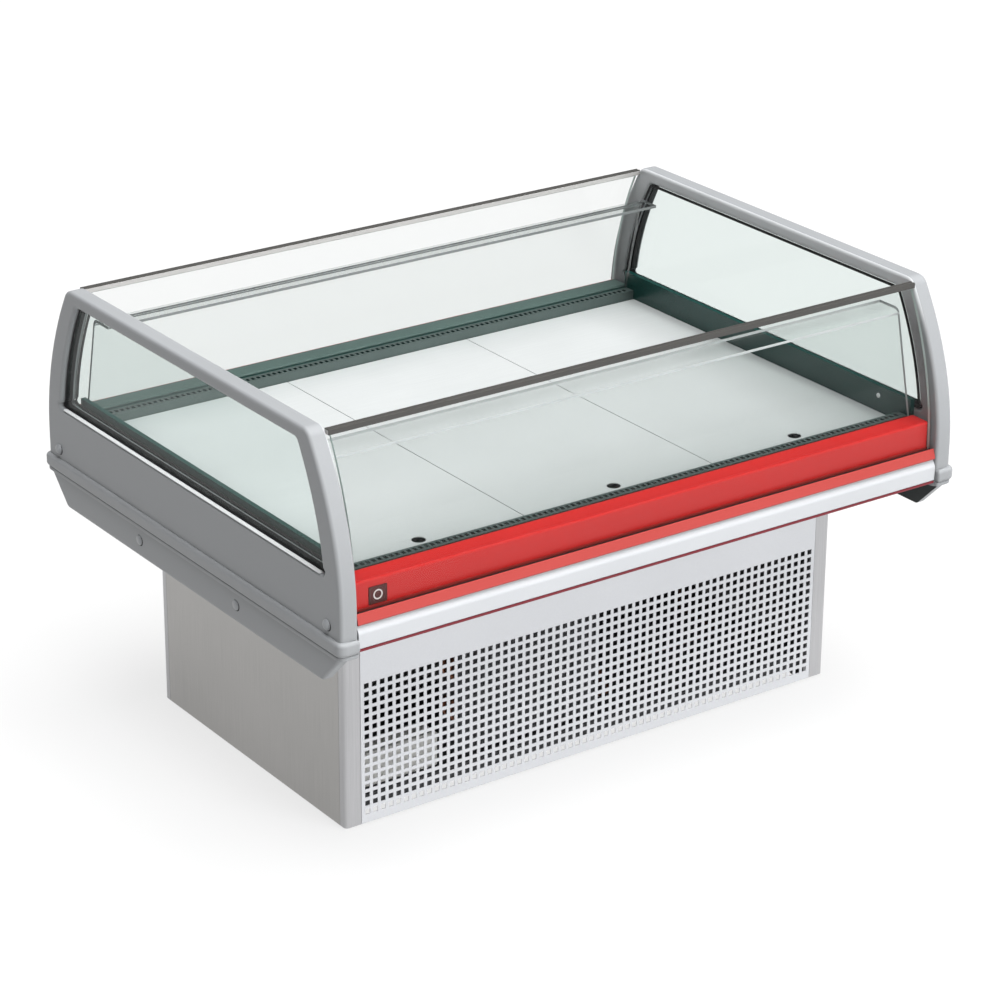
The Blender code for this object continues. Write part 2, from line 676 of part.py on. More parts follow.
def evaporator_fans():
    """An upright baffle with two fans that draw air under the decks and through the coil."""
    y, z = -0.060, EVAPORATOR_FAN_Z
    plate = box("fan_plate", (-0.575, y - 0.0008, 0.3975), (0.575, y + 0.0008, 0.5035), GALVANISED)
    for name, x in zip(("left", "right"), EVAPORATOR_FANS):
        cut(plate, cylinder("fan_opening_" + name, (x, y, z), 0.0455, 0.02, "Y", None, CUTTERS, 24))
        motor = cylinder("evap_motor_" + name, (x, y - 0.034, z), 0.020, 0.044, "Y", PLASTIC, None, 16)
        ring = cylinder("motor_ring_" + name, (x, y - 0.0027, z), 0.0515, 0.0030, "Y", None, CUTTERS, 24)
        cut(ring, cylinder("motor_ring_hole_" + name, (x, y - 0.0027, z), 0.0460, 0.02, "Y", None, CUTTERS, 24))
        join(motor, ring)
        for index in range(3):
            bm = bmesh.new()
            add_box(bm, (0.015, y - 0.0180, -0.003), (0.0510, y - 0.0140, 0.003))
            add_box(bm, (0.0470, y - 0.0170, -0.0025), (0.0505, y - 0.0020, 0.0025))
            angle = math.radians(90 + 120 * index)
            bmesh.ops.rotate(bm, verts=bm.verts, cent=(0, y, 0), matrix=Matrix.Rotation(angle, 3, "Y"))
            bmesh.ops.translate(bm, verts=bm.verts, vec=(x, 0.0, z))
            arm = mesh_object(f"motor_arm_{name}_{index}", bm, None, CUTTERS)
            step = boolean(motor, arm, "UNION")
            step.use_self = True
        fan_blade("evap_fan_" + name, (x, y - 0.0010, z), 0.042, 0.014, 0.0180, 5, 0.020, 35, PLASTIC)


# ---------------------------------------------------------- decks and grids
def deck_plates():
    """Three lift-out plates with turned-down front and rear edges and a finger hole."""
    edge, top = DECK_EDGE, DECK_TOP - SHEET / 2
    width = (2 * WELL_HALF_LENGTH - 0.004) / 3
    path = [(-edge, top - 0.022), (-edge, top), (edge, top), (edge, top - 0.022)]
    for index, name in enumerate(("left", "centre", "right")):
        low = -WELL_HALF_LENGTH + 0.0005 + index * (width + 0.0015)
        plate = sheet("deck_plate_" + name, path, low, low + width, SHEET, DECK)
        middle = low + width / 2
        cut(plate, cylinder("finger_hole_" + name, (middle, -0.33, top), 0.012, 0.01, "Z", None, CUTTERS, 16))


def air_grids():
    """Slotted strips along the front and rear of the well, over the air ducts."""
    top = TANK_TOP + 0.0012
    for name, side in (("front", -1), ("rear", 1)):
        path = [(side * 0.3998, top), (side * 0.3790, top), (side * 0.3790, 0.482)]
        strip = sheet("air_grille_" + name, path, -WELL_HALF_LENGTH, WELL_HALF_LENGTH, SHEET, GRID)
        bm = bmesh.new()
        for index in range(18):
            x = -0.527 + index * 0.062
            low, high = sorted((side * 0.3835, side * 0.3955))
            add_box(bm, (x - 0.026, low, top - 0.01), (x + 0.026, high, top + 0.01))
        cut(strip, mesh_object("air_slots_" + name, bm, None, CUTTERS))


# ------------------------------------------------------- end panels and ends
def end_panel_outline():
    lower = [(0.3990, PANEL_BOTTOM), (0.4075, 0.3565), (0.4135, 0.3605), (0.4640, 0.4080), (0.4675, 0.4150)]
    return mirrored(lower + leaning_side(PANEL_BELLY, PANEL_LEAN, 0.440, 0.753, HEIGHT, 8, 4))


def end_panels():
    """Moulded ends with a window, a thin skirt below and a stepped bumper band that wraps round the corners."""
    for name, side in (("left", -1), ("right", 1)):
        low, high = sorted((side * PANEL_INNER, side * HALF_LENGTH))
        panel = prism(
            "end_panel_" + name, [end_panel_outline(), window_outline(0.0)], low, high, MOULDED, rounding=0.005
        )
        hollow_low, hollow_high = sorted((side * (PANEL_INNER - 0.010), side * SKIRT_INNER))
        cut(
            panel, box(f"hollow_{name}", (hollow_low, -0.50, 0.30), (hollow_high, 0.50, HOLLOW_TOP), None, 0, CUTTERS)
        )
        for index, (bottom, top, reach) in enumerate(BAND_STEPS):
            x0, x1, y1, radius = PANEL_INNER + 0.004, HALF_LENGTH + reach, PANEL_BELLY + reach, 0.012
            quarter = [(x0, y1)]
            for step in range(4):
                angle = math.pi / 2 - math.pi / 2 * step / 3
                quarter.append((x1 - radius + radius * math.cos(angle), y1 - radius + radius * math.sin(angle)))
            half = [(side * a, b) for a, b in quarter]
            outline = half + [(a, -b) for a, b in reversed(half)]
            rib = prism(
                f"band_{name}_{index}", [outline], bottom, top, None, "Z", rounding=0.002, collection=CUTTERS
            )
            join(panel, rib)


def side_windows():
    for name, side in (("left", -1), ("right", 1)):
        low, high = sorted((side * 0.603, side * 0.6165))
        prism(
            "window_gasket_" + name, [window_outline(0.0008), window_outline(GASKET_WIDTH)], low, high, RUBBER
        )
        low, high = sorted((side * 0.6093, side * 0.6148))
        prism("side_glass_" + name, [window_outline(GASKET_WIDTH + 0.0008)], low, high, GLASS)


# ------------------------------------------------------- front and rear faces
def fascias():
    """Red sheets: a flat ledge on top of the tank wall, folded down behind the glass."""
    for name, side in (("front", -1), ("rear", 1)):
        path = [(0.4075, 0.5247), (0.4435, 0.5247), (0.4466, 0.5216), (0.4472, 0.4818)]
        sheet("fascia_" + name, [(side * a, b) for a, b in path], -0.5865, 0.5865, 0.0016, RED)


def glass_channels():
    """Red strips with a groove that takes the foot of the curved glass."""
    outline = (
        (0.4408, 0.4608), (0.4612, 0.4608), (0.4640, 0.4636), (0.4640, 0.4772), (0.4622, 0.4790), (0.4548, 0.4790),
        (0.4548, 0.4695), (0.4484, 0.4695), (0.4484, 0.4790), (0.4408, 0.4790),
    )
    for name, side in (("front", -1), ("rear", 1)):
        prism("glass_channel_" + name, [[(side * a, b) for a, b in outline]], -TANK_HALF_LENGTH, TANK_HALF_LENGTH, RED)


def bumpers():
    back, face, low, high, radius = 0.4408, 0.4675, 0.4165, 0.4604, 0.009
    outline = [(back, low), (back, high)]
    for bottom, first in ((high - radius, 90), (low + radius, 0)):
        for step in range(5):
            angle = math.radians(first - 90 * step / 4)
            outline.append((face - radius + radius * math.cos(angle), bottom + radius * math.sin(angle)))
    for name, side in (("front", -1), ("rear", 1)):
        loop = [(side * a, b) for a, b in outline]
        smooth(prism("bumper_" + name, [loop], -TANK_HALF_LENGTH, TANK_HALF_LENGTH, BUMPER))


def outer_glass():
    """Curved panes that stand in the channels and lean in to the top rails."""
    heights = [GLASS_BOTTOM, LEAN_START] + [LEAN_START + (GLASS_TOP - LEAN_START) * step / 8 for step in range(1, 9)]
    for name, side in (("front", -1), ("rear", 1)):
        path = [(side * leaning(GLASS_BELLY, GLASS_LEAN, z), z) for z in heights]
        smooth(sheet("outer_glass_" + name, path, -0.5870, 0.5870, GLASS_THICKNESS, GLASS), 60)


def top_rails():
    """Anodised rails from end panel to end panel, along the top edges of the panes."""
    centre = leaning(GLASS_BELLY, GLASS_LEAN, GLASS_TOP) - 0.002
    for name, side in (("front", -1), ("rear", 1)):
        y0, y1 = sorted((side * (centre - 0.006), side * (centre + 0.006)))
        rail = box(
            "top_rail_" + name, (-TANK_HALF_LENGTH, y0, RAIL_HEIGHT - 0.0095), (TANK_HALF_LENGTH, y1, RAIL_HEIGHT), RAIL
        )
        rounded = rail.modifiers.new("edges", "BEVEL")
        rounded.width = 0.0025
        rounded.segments = 2


def inner_guards():
    """Clear screens inside the panes, bent over at the top into a ledge towards the middle."""
    bend = 0.006
    foot, turn, lip = GUARD_FOOT, GUARD_LEDGE[0], GUARD_LEDGE[1]
    rise = Vector((turn - foot, GUARD_TOP - TANK_TOP)).normalized()
    corner = Vector((turn, GUARD_TOP))
    path = [(foot, TANK_TOP + 0.0012)]
    for step in range(5):
        share = step / 4
        first = corner - rise * bend * (1 - share)
        second = corner + Vector((-bend * share, 0.0))
        path.append(tuple(first.lerp(second, share)))
    path.append((lip, GUARD_TOP))
    for name, side in (("front", -1), ("rear", 1)):
        points = [(side * a, b) for a, b in path]
        smooth(sheet("inner_guard_" + name, points, -WELL_HALF_LENGTH, WELL_HALF_LENGTH, 0.005, ACRYLIC), 60)


base_frame()
feet()
base_tray()
corner_posts()
side_panels()
plinth_grilles()
compressor()
condenser()
condenser_fan()
condensate_tray()
pipes()
electrical_box()
controls()
cable_gland()
tank()
drain_pipe()
evaporator()
evaporator_fans()
deck_plates()
air_grids()
end_panels()
side_windows()
fascias()
glass_channels()
bumpers()
outer_glass()
top_rails()
inner_guards()
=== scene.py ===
import math

import bmesh
import bpy
from mathutils import Matrix, Vector


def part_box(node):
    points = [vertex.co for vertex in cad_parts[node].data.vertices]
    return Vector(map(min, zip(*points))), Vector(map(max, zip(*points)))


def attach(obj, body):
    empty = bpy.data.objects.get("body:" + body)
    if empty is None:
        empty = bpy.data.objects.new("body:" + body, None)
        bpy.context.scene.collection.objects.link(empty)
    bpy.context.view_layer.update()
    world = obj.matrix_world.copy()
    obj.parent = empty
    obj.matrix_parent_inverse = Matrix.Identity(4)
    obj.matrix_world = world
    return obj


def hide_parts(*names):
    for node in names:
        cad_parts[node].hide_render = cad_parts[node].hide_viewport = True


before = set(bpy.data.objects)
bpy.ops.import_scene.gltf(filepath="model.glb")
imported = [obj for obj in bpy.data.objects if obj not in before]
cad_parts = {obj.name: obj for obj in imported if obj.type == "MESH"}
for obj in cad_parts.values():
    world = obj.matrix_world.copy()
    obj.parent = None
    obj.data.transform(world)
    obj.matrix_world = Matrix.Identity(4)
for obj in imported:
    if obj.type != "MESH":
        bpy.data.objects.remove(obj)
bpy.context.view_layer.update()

# ------------------------------------------------------------ studio and camera
# A white floor and backdrop, a broad low lamp in front and a broader one overhead leave only the
# ends in soft shade. The camera stands left of the front, a little above the rails.
WHITE = (1.0, 1.0, 1.0, 1.0)
FLOOR_SIZE, FLOOR_TONE, FLOOR_GLOW = 60.0, (0.11, 0.11, 0.11, 1.0), 0.76
BACKDROP_RADIUS, BACKDROP_TONE, BACKDROP_GLOW = 28.0, (0.0, 0.0, 0.0, 1.0), 0.92
SKY_STRENGTH = 0.13
CAMERA_AT = (-3.048, -4.294, 2.623)
CAMERA_TURN, CAMERA_TILT, CAMERA_ROLL = 0.618, 0.4054, 0.0066
LENS_MM, SENSOR_MM = 118.3, 36.0
# where each lamp stands, its strength, and its spread in degrees
LAMPS = {"front_lamp": ((0.36, -0.90, 0.25), 3.1, 34.0), "top_lamp": ((0.10, -0.20, 1.00), 8.0, 60.0)}


def wired(tree, node, **inputs):
    """Adds a node, or takes one, and fills its inputs with values or with what other nodes give."""
    node = tree.nodes.new(node) if isinstance(node, str) else node
    for label, given in inputs.items():
        socket = node.inputs[label.replace("_", " ")]
        if isinstance(given, bpy.types.NodeSocket):
            tree.links.new(given, socket)
        else:
            socket.default_value = given
    return node


def studio_piece(name, bm, tone, glow, roughness):
    """Puts up the floor or the backdrop, in a paint that glows white."""
    mesh = bpy.data.meshes.new(name)
    bm.to_mesh(mesh)
    bm.free()
    piece = bpy.data.objects.new(name, mesh)
    bpy.context.scene.collection.objects.link(piece)
    paint = bpy.data.materials.new(name + "_paint")
    paint.use_nodes = True
    wired(
        paint.node_tree, paint.node_tree.nodes["Principled BSDF"], Base_Color=tone, Roughness=roughness,
        Emission_Color=WHITE, Emission_Strength=glow,
    )
    mesh.materials.append(paint)
    return piece


sheet = bmesh.new()
bmesh.ops.create_grid(sheet, x_segments=1, y_segments=1, size=FLOOR_SIZE / 2)
studio_piece("studio_floor", sheet, FLOOR_TONE, FLOOR_GLOW, 0.9)

dome = bmesh.new()
bmesh.ops.create_uvsphere(dome, u_segments=64, v_segments=32, radius=BACKDROP_RADIUS)
backdrop = studio_piece("studio_backdrop", dome, BACKDROP_TONE, BACKDROP_GLOW, 0.5)
backdrop.visible_diffuse = False
backdrop.visible_glossy = False
backdrop.visible_shadow = False

sky = bpy.data.worlds.new("studio_sky")
bpy.context.scene.world = sky
sky.use_nodes = True
wired(sky.node_tree, sky.node_tree.nodes["Background"], Color=WHITE, Strength=SKY_STRENGTH)
bpy.context.scene.view_settings.view_transform = "Standard"

for lamp_name, (lamp_from, lamp_strength, lamp_spread) in LAMPS.items():
    lamp_data = bpy.data.lights.new(lamp_name, "SUN")
    lamp_data.energy = lamp_strength
    lamp_data.angle = math.radians(lamp_spread)
    lamp = bpy.data.objects.new(lamp_name, lamp_data)
    lamp.rotation_euler = (-Vector(lamp_from)).to_track_quat("-Z", "Y").to_euler()
    lamp.visible_glossy = False
    bpy.context.scene.collection.objects.link(lamp)

camera_data = bpy.data.cameras.new("camera")
camera_data.sensor_width = SENSOR_MM
camera_data.lens = LENS_MM
camera = bpy.data.objects.new("camera", camera_data)
camera.matrix_world = (
    Matrix.Translation(CAMERA_AT)
    @ Matrix.Rotation(-CAMERA_TURN, 4, "Z")
    @ Matrix.Rotation(math.pi / 2 - CAMERA_TILT, 4, "X")
    @ Matrix.Rotation(CAMERA_ROLL, 4, "Z")
)
bpy.context.scene.collection.objects.link(camera)
bpy.context.scene.camera = camera


# ------------------------------------------------------------ base frame and tray
# A welded frame of square tube carries the case, with a sheet floor for the machine bay. Both are
# mild steel under a dark primer.
GRAIN_RANGE = (0.3, 0.7)     # where between its darkest and its lightest the grain of a finish lies


def finish(name, light, dark, grain, gloss, metallic=0.0, stretch=(1.0, 1.0, 1.0), relief=0.0, coat=0.0, broad=0.35):
    """A surface whose colour, roughness and relief follow a fine grain and a broad tone in its own space."""
    made = bpy.data.materials.new(name)
    made.use_nodes = True
    tree = made.node_tree
    where = wired(tree, "ShaderNodeTexCoord")
    drawn_out = wired(tree, "ShaderNodeMapping", Vector=where.outputs["Object"], Scale=stretch)
    fine = wired(
        tree, "ShaderNodeTexNoise", Vector=drawn_out.outputs["Vector"], Scale=grain, Detail=5.0, Roughness=0.6
    )
    tone = wired(tree, "ShaderNodeTexNoise", Vector=where.outputs["Object"], Scale=5.0, Detail=3.0)
    blend = wired(tree, "ShaderNodeMix", Factor=broad, A=fine.outputs["Fac"], B=tone.outputs["Fac"])
    colour = wired(tree, "ShaderNodeValToRGB", Fac=blend.outputs["Result"])
    for stop, place, shade in zip(colour.color_ramp.elements, GRAIN_RANGE, (dark, light)):
        stop.position, stop.color = place, (*shade, 1.0)
    dull = wired(
        tree, "ShaderNodeMapRange", Value=blend.outputs["Result"], From_Min=GRAIN_RANGE[0], From_Max=GRAIN_RANGE[1],
        To_Min=gloss[0], To_Max=gloss[1],
    )
    shader = wired(
        tree, tree.nodes["Principled BSDF"], Metallic=metallic, Coat_Weight=coat,
        Base_Color=colour.outputs["Color"], Roughness=dull.outputs["Result"],
    )
    if relief:
        bump = wired(tree, "ShaderNodeBump", Strength=0.6, Distance=relief, Height=fine.outputs["Fac"])
        wired(tree, shader, Normal=bump.outputs["Normal"])
    return made


def own_node(made_of, kind):
    """The one node of this kind in a finish."""
    return next(node for node in made_of.node_tree.nodes if node.type == kind)


def dress(made_of, *names):
    """Gives CAD nodes that stay in view their finish."""
    for name in names:
        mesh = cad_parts[name].data
        mesh.materials.clear()
        mesh.materials.append(made_of)


dark_primer = finish("dark_primer", (0.060, 0.062, 0.065), (0.040, 0.042, 0.044), 500.0, (0.45, 0.60), relief=0.00004)
dress(dark_primer, "base_frame", "base_tray")

# ------------------------------------------------------------ levelling feet
# Each foot is a moulded rubber pad on a threaded stud. The stud screws into the bottom ring of the
# frame, so that the case can be set level.
pad_rubber = finish("pad_rubber", (0.030, 0.030, 0.031), (0.014, 0.014, 0.015), 700.0, (0.65, 0.85), relief=0.0001)
dress(pad_rubber, "foot_fl", "foot_fr", "foot_rl", "foot_rr")


# ------------------------------------------------------------ corner posts
# Four aluminium extrusions with a rounded outer corner close the plinth between its panels. The
# drawing marks run up the post under a thin satin anodising.
POST_WIDTH, POST_DEPTH, POST_RADIUS, POST_ARRIS = 0.031, 0.0165, 0.009, 0.0006


def filleted(points, radius, steps=5, closed=True):
    """The outline with its corners rounded; a third number in a point is that corner's own radius."""
    made = []
    for index, point in enumerate(points):
        corner = Vector(point[:2])
        size = point[2] if len(point) > 2 else radius
        if not size or (not closed and index in (0, len(points) - 1)):
            made.append(tuple(corner))
            continue
        before = Vector(points[index - 1][:2]) - corner
        after = Vector(points[(index + 1) % len(points)][:2]) - corner
        reach = min(size / math.tan(before.angle(after) / 2), 0.49 * before.length, 0.49 * after.length)
        start = corner + before.normalized() * reach
        end = corner + after.normalized() * reach
        for step in range(steps + 1):
            share = step / steps
            made.append(tuple(start.lerp(corner, share).lerp(corner.lerp(end, share), share)))
    return made


def extruded(name, loops, low, high, axis="X", rounding=0.0):
    """A solid with one section: (y, z) loops carried along X, or (x, y) loops along Z."""
    curve = bpy.data.curves.new(name, "CURVE")
    curve.dimensions = "2D"
    curve.fill_mode = "BOTH"
    curve.extrude = (high - low) / 2 - rounding
    curve.bevel_depth = rounding
    curve.bevel_resolution = 3
    curve.offset = -rounding
    for loop in loops:
        spline = curve.splines.new("POLY")
        spline.points.add(len(loop) - 1)
        for point, (a, b) in zip(spline.points, loop):
            point.co = (a, b, 0.0, 1.0)
        spline.use_cyclic_u = True
    flat = bpy.data.objects.new(name + "_outline", curve)
    bpy.context.scene.collection.objects.link(flat)
    bpy.context.view_layer.update()
    mesh = bpy.data.meshes.new_from_object(flat.evaluated_get(bpy.context.evaluated_depsgraph_get()))
    bpy.data.objects.remove(flat)
    mesh.name = name
    middle = (low + high) / 2
    if axis == "X":
        mesh.transform(Matrix(((0, 0, 1, middle), (1, 0, 0, 0), (0, 1, 0, 0), (0, 0, 0, 1))))
    else:
        mesh.transform(Matrix.Translation((0, 0, middle)))
    return shown(name, mesh)


def shown(name, mesh):
    """Links a mesh as a piece, with its doubles merged and its faces turned out."""
    bm = bmesh.new()
    bm.from_mesh(mesh)
    bmesh.ops.remove_doubles(bm, verts=bm.verts, dist=0.000005)
    bmesh.ops.recalc_face_normals(bm, faces=bm.faces)
    bm.to_mesh(mesh)
    bm.free()
    mesh.materials.clear()
    piece = bpy.data.objects.new(name, mesh)
    bpy.context.scene.collection.objects.link(piece)
    return piece


def plain(piece):
    """Uses up the piece's modifiers, so that it is one plain mesh."""
    bpy.context.view_layer.update()
    mesh = bpy.data.meshes.new_from_object(piece.evaluated_get(bpy.context.evaluated_depsgraph_get()))
    piece.modifiers.clear()
    piece.data = mesh
    return piece


def fit(piece, made_of, body, slot, *nodes, sharp=38):
    """Evens the shading, gives the finish and hangs the piece on its body in place of the CAD nodes."""
    if piece.modifiers:
        plain(piece)
    piece.data.shade_smooth()
    piece.data.set_sharp_from_angle(angle=math.radians(sharp))
    even = piece.modifiers.new("even_shading", "WEIGHTED_NORMAL")
    even.keep_sharp = True
    plain(piece)
    if made_of:
        piece.data.materials.clear()
        piece.data.materials.append(made_of)
    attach(piece, body)
    if nodes:
        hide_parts(*nodes)
    return piece


drawn_aluminium = finish(
    "drawn_aluminium", (0.47, 0.47, 0.48), (0.36, 0.36, 0.37), 900.0, (0.30, 0.42),
    metallic=0.65, stretch=(1.0, 1.0, 0.01),
)
for post in ("corner_post_fl", "corner_post_fr", "corner_post_rl", "corner_post_rr"):
    low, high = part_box(post)
    sx = 1 if high.x > 0 else -1
    sy = 1 if high.y > 0 else -1
    x1, y1 = max(abs(low.x), abs(high.x)), max(abs(low.y), abs(high.y))
    x0, y0 = x1 - POST_WIDTH, y1 - POST_DEPTH
    outline = filleted([(x0, y0, 0.0), (x1, y0, 0.0), (x1, y1, POST_RADIUS), (x0, y1, POST_ARRIS)], 0.0, 8)
    piece = extruded("plinth_" + post, [[(sx * a, sy * b) for a, b in outline]], low.z, high.z, "Z")
    fit(piece, drawn_aluminium, "case", "satin_aluminium", post)

# ------------------------------------------------------------ plinth side panels
# The ends of the plinth are folded sheets of stainless steel, brushed upright. They are fixed to the
# corner posts and the frame behind.
brushed_steel = finish(
    "upright_brushed_steel", (0.43, 0.42, 0.41), (0.31, 0.305, 0.295), 1400.0, (0.30, 0.46),
    metallic=0.75, stretch=(1.0, 1.0, 0.006), relief=0.00002, broad=0.25,
)
dress(brushed_steel, "side_panel_left", "side_panel_right")

# ------------------------------------------------------------ vent panels
# Front and rear of the plinth are lift-off sheets punched with sixteen rows of square holes and
# coated light silver. Their sides fold back behind the corner posts.
VENT_COLUMNS, VENT_ROWS = 62, 16
VENT_PITCH, VENT_HOLE = 0.0153, 0.0092
VENT_BOTTOM_ROW = 0.0243     # height of the lowest row's middle
VENT_SHEET, VENT_FOLD = 0.0012, 0.010


def started_tree(name, **inputs):
    """A new geometry tree with named inputs of these kinds, a finish last, and what they give."""
    tree = bpy.data.node_groups.new(name, "GeometryNodeTree")
    tree.interface.new_socket("Geometry", in_out="OUTPUT", socket_type="NodeSocketGeometry")
    for label, kind in (*inputs.items(), ("Finish", "Material")):
        tree.interface.new_socket(label.replace("_", " "), in_out="INPUT", socket_type="NodeSocket" + kind)
    return tree, tree.nodes.new("NodeGroupInput").outputs


def painted(tree, given, shape):
    """Ends a tree: its copies are made real and take the finish."""
    real = wired(tree, "GeometryNodeRealizeInstances", Geometry=shape)
    paint = wired(tree, "GeometryNodeSetMaterial", Geometry=real.outputs["Geometry"], Material=given["Finish"])
    wired(tree, "NodeGroupOutput", Geometry=paint.outputs["Geometry"])
    return tree


def thickened(piece, thickness):
    """Gives a bare sheet its thickness, half to either side."""
    wall = piece.modifiers.new("sheet", "SOLIDIFY")
    wall.thickness = thickness
    wall.offset = 0.0
    wall.use_even_offset = True
    return plain(piece)


def worked_out(tree, operation, *values):
    """What a maths node gives for these values, some of which other nodes may give."""
    node = tree.nodes.new("ShaderNodeMath")
    node.operation = operation
    for socket, value in zip(node.inputs, values):
        if isinstance(value, (int, float)):
            socket.default_value = value
        else:
            tree.links.new(value, socket)
    return node.outputs[0]


def parted(tree, vector):
    """The X, Y and Z of what a node gives."""
    split = tree.nodes.new("ShaderNodeSeparateXYZ")
    tree.links.new(vector, split.inputs[0])
    return split.outputs


def punched_sheet_tree():
    """A node tree for an upright sheet, punched with rows of oblong holes, with its two sides folded."""
    tree, given = started_tree(
        "punched_sheet", Columns="Int", Rows="Int", Pitch="Float", Hole_Width="Float", Hole_Height="Float",
        Width="Float", Height="Float", Rise="Float", Fold="Float",
    )

    def maths(operation, *values):
        return worked_out(tree, operation, *values)

    across = maths("ADD", maths("MULTIPLY", given["Columns"], 2), 3)
    upward = maths("ADD", maths("MULTIPLY", given["Rows"], 2), 1)
    grid = wired(
        tree, "GeometryNodeMeshGrid", Size_X=across, Size_Y=upward,
        Vertices_X=maths("ADD", across, 1), Vertices_Y=maths("ADD", upward, 1),
    )
    at = parted(tree, wired(tree, "GeometryNodeInputPosition").outputs[0])
    column = maths("ADD", at["X"], maths("MULTIPLY", across, 0.5))
    row = maths("ADD", at["Y"], maths("MULTIPLY", upward, 0.5))

    in_column = maths("SUBTRACT", 1, maths("FLOORED_MODULO", maths("FLOOR", column), 2))
    past_first = maths("GREATER_THAN", column, 1.2)
    before_last = maths("LESS_THAN", column, maths("SUBTRACT", across, 1.2))
    inside = maths("MULTIPLY", past_first, before_last)
    in_row = maths("FLOORED_MODULO", maths("FLOOR", row), 2)
    punch = tree.nodes.new("GeometryNodeDeleteGeometry")
    punch.domain = "FACE"
    punched_out = maths("MULTIPLY", maths("MULTIPLY", in_column, inside), in_row)
    wired(tree, punch, Geometry=grid.outputs["Mesh"], Selection=punched_out)

    def spread(number, first, last, count, hole, reach, shift):
        """Where a line of the grid goes: to a hole's edge, or at the ends to the edge of the sheet."""
        number = maths("ROUND", number)
        counted = maths("SUBTRACT", number, first)
        hole_number = maths("FLOOR", maths("DIVIDE", counted, 2))
        side = maths("SUBTRACT", maths("FLOORED_MODULO", counted, 2), 0.5)
        centre = maths("SUBTRACT", hole_number, maths("DIVIDE", maths("SUBTRACT", count, 1), 2))
        place = maths("ADD", maths("MULTIPLY", centre, given["Pitch"]), maths("MULTIPLY", side, hole))
        place = maths("ADD", place, shift)
        place = maths("SUBTRACT", place, maths("MULTIPLY", maths("LESS_THAN", number, first - 0.5), 9))
        place = maths("ADD", place, maths("MULTIPLY", maths("GREATER_THAN", number, last), 9))
        half_reach = maths("MULTIPLY", reach, 0.5)
        return maths("MAXIMUM", maths("MINIMUM", place, half_reach), maths("MULTIPLY", half_reach, -1))

    last_column, last_row = maths("SUBTRACT", across, 1.5), maths("SUBTRACT", upward, 0.5)
    sideways = spread(column, 2, last_column, given["Columns"], given["Hole Width"], given["Width"], 0.0)
    height = spread(row, 1, last_row, given["Rows"], given["Hole Height"], given["Height"], given["Rise"])
    right_fold = maths("GREATER_THAN", column, maths("SUBTRACT", across, 0.5))
    folded_back = maths("ADD", maths("LESS_THAN", column, 0.5), right_fold)
    fold = maths("MULTIPLY", folded_back, given["Fold"])
    place = wired(tree, "ShaderNodeCombineXYZ", X=sideways, Y=fold, Z=height)
    move = wired(
        tree, "GeometryNodeSetPosition", Geometry=punch.outputs["Geometry"], Position=place.outputs["Vector"]
    )
    return painted(tree, given, move.outputs["Geometry"])


def grown(name, tree, points=(), **settings):
    """The plain mesh that a node tree makes from named inputs, where an underscore stands for a space."""
    piece = bpy.data.objects.new(name, bpy.data.meshes.new(name))
    piece.data.from_pydata(points, [], [])
    bpy.context.scene.collection.objects.link(piece)
    modifier = piece.modifiers.new("grown", "NODES")
    modifier.node_group = tree
    for socket in tree.interface.items_tree:
        key = socket.name.replace(" ", "_")
        if socket.in_out == "INPUT" and key in settings:
            modifier[socket.identifier] = settings[key]
    return plain(piece)


silver_coat = finish(
    "silver_powder_coat", (0.52, 0.53, 0.55), (0.44, 0.45, 0.47), 1100.0, (0.36, 0.50),
    metallic=0.25, relief=0.00003, broad=0.2,
)
PUNCHED = punched_sheet_tree()
for panel, fold_way in (("front_grille", 1), ("rear_grille", -1)):
    low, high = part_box(panel)
    face = low.y if fold_way > 0 else high.y
    middle_height = (low.z + high.z) / 2
    rows_middle = VENT_BOTTOM_ROW + VENT_PITCH * (VENT_ROWS - 1) / 2
    piece = grown(
        "punched_" + panel, PUNCHED, Columns=VENT_COLUMNS, Rows=VENT_ROWS, Pitch=VENT_PITCH,
        Hole_Width=VENT_HOLE, Hole_Height=VENT_HOLE, Width=high.x - low.x - VENT_SHEET, Height=high.z - low.z,
        Rise=rows_middle - middle_height, Fold=fold_way * VENT_FOLD, Finish=silver_coat,
    )
    piece.data.transform(Matrix.Translation((0.0, face + fold_way * VENT_SHEET / 2, middle_height)))
    fit(thickened(piece, VENT_SHEET), silver_coat, panel, "silver_paint", panel)

# ------------------------------------------------------------ condensing unit
# The machinery stands on the tray behind the vents: a black hermetic compressor on rubber mounts,
# a finned coil with its fan, bare copper lines, a drip tray and a pale moulded wiring box.
machine_black = finish(
    "machine_black", (0.022, 0.022, 0.024), (0.012, 0.012, 0.013), 500.0, (0.28, 0.45), relief=0.00008
)
copper = finish(
    "drawn_copper", (0.46, 0.21, 0.13), (0.28, 0.11, 0.06), 260.0, (0.22, 0.45), metallic=1.0, relief=0.00003
)
fin_metal = finish("fin_metal", (0.62, 0.64, 0.66), (0.42, 0.44, 0.46), 800.0, (0.28, 0.45), metallic=0.9)
pale_moulding = finish("pale_moulding", (0.60, 0.60, 0.58), (0.52, 0.52, 0.50), 900.0, (0.40, 0.55), relief=0.00005)
dark_moulding = finish(
    "dark_moulding", (0.045, 0.045, 0.05), (0.026, 0.026, 0.03), 1200.0, (0.42, 0.60), relief=0.00006
)
dress(machine_black, "compressor", "condenser_fan_housing", "condenser_fan_blade")
dress(copper, "discharge_pipe", "suction_pipe", "liquid_line")
dress(pale_moulding, "condensate_tray", "electrical_box", "drain_pipe")

FIN, COIL_EDGE = 0.0004, 0.003     # thickness of a fin, and what the stack keeps clear of the block's edges
FIRST_BEND, LAST_BEND = 0.012, 0.018


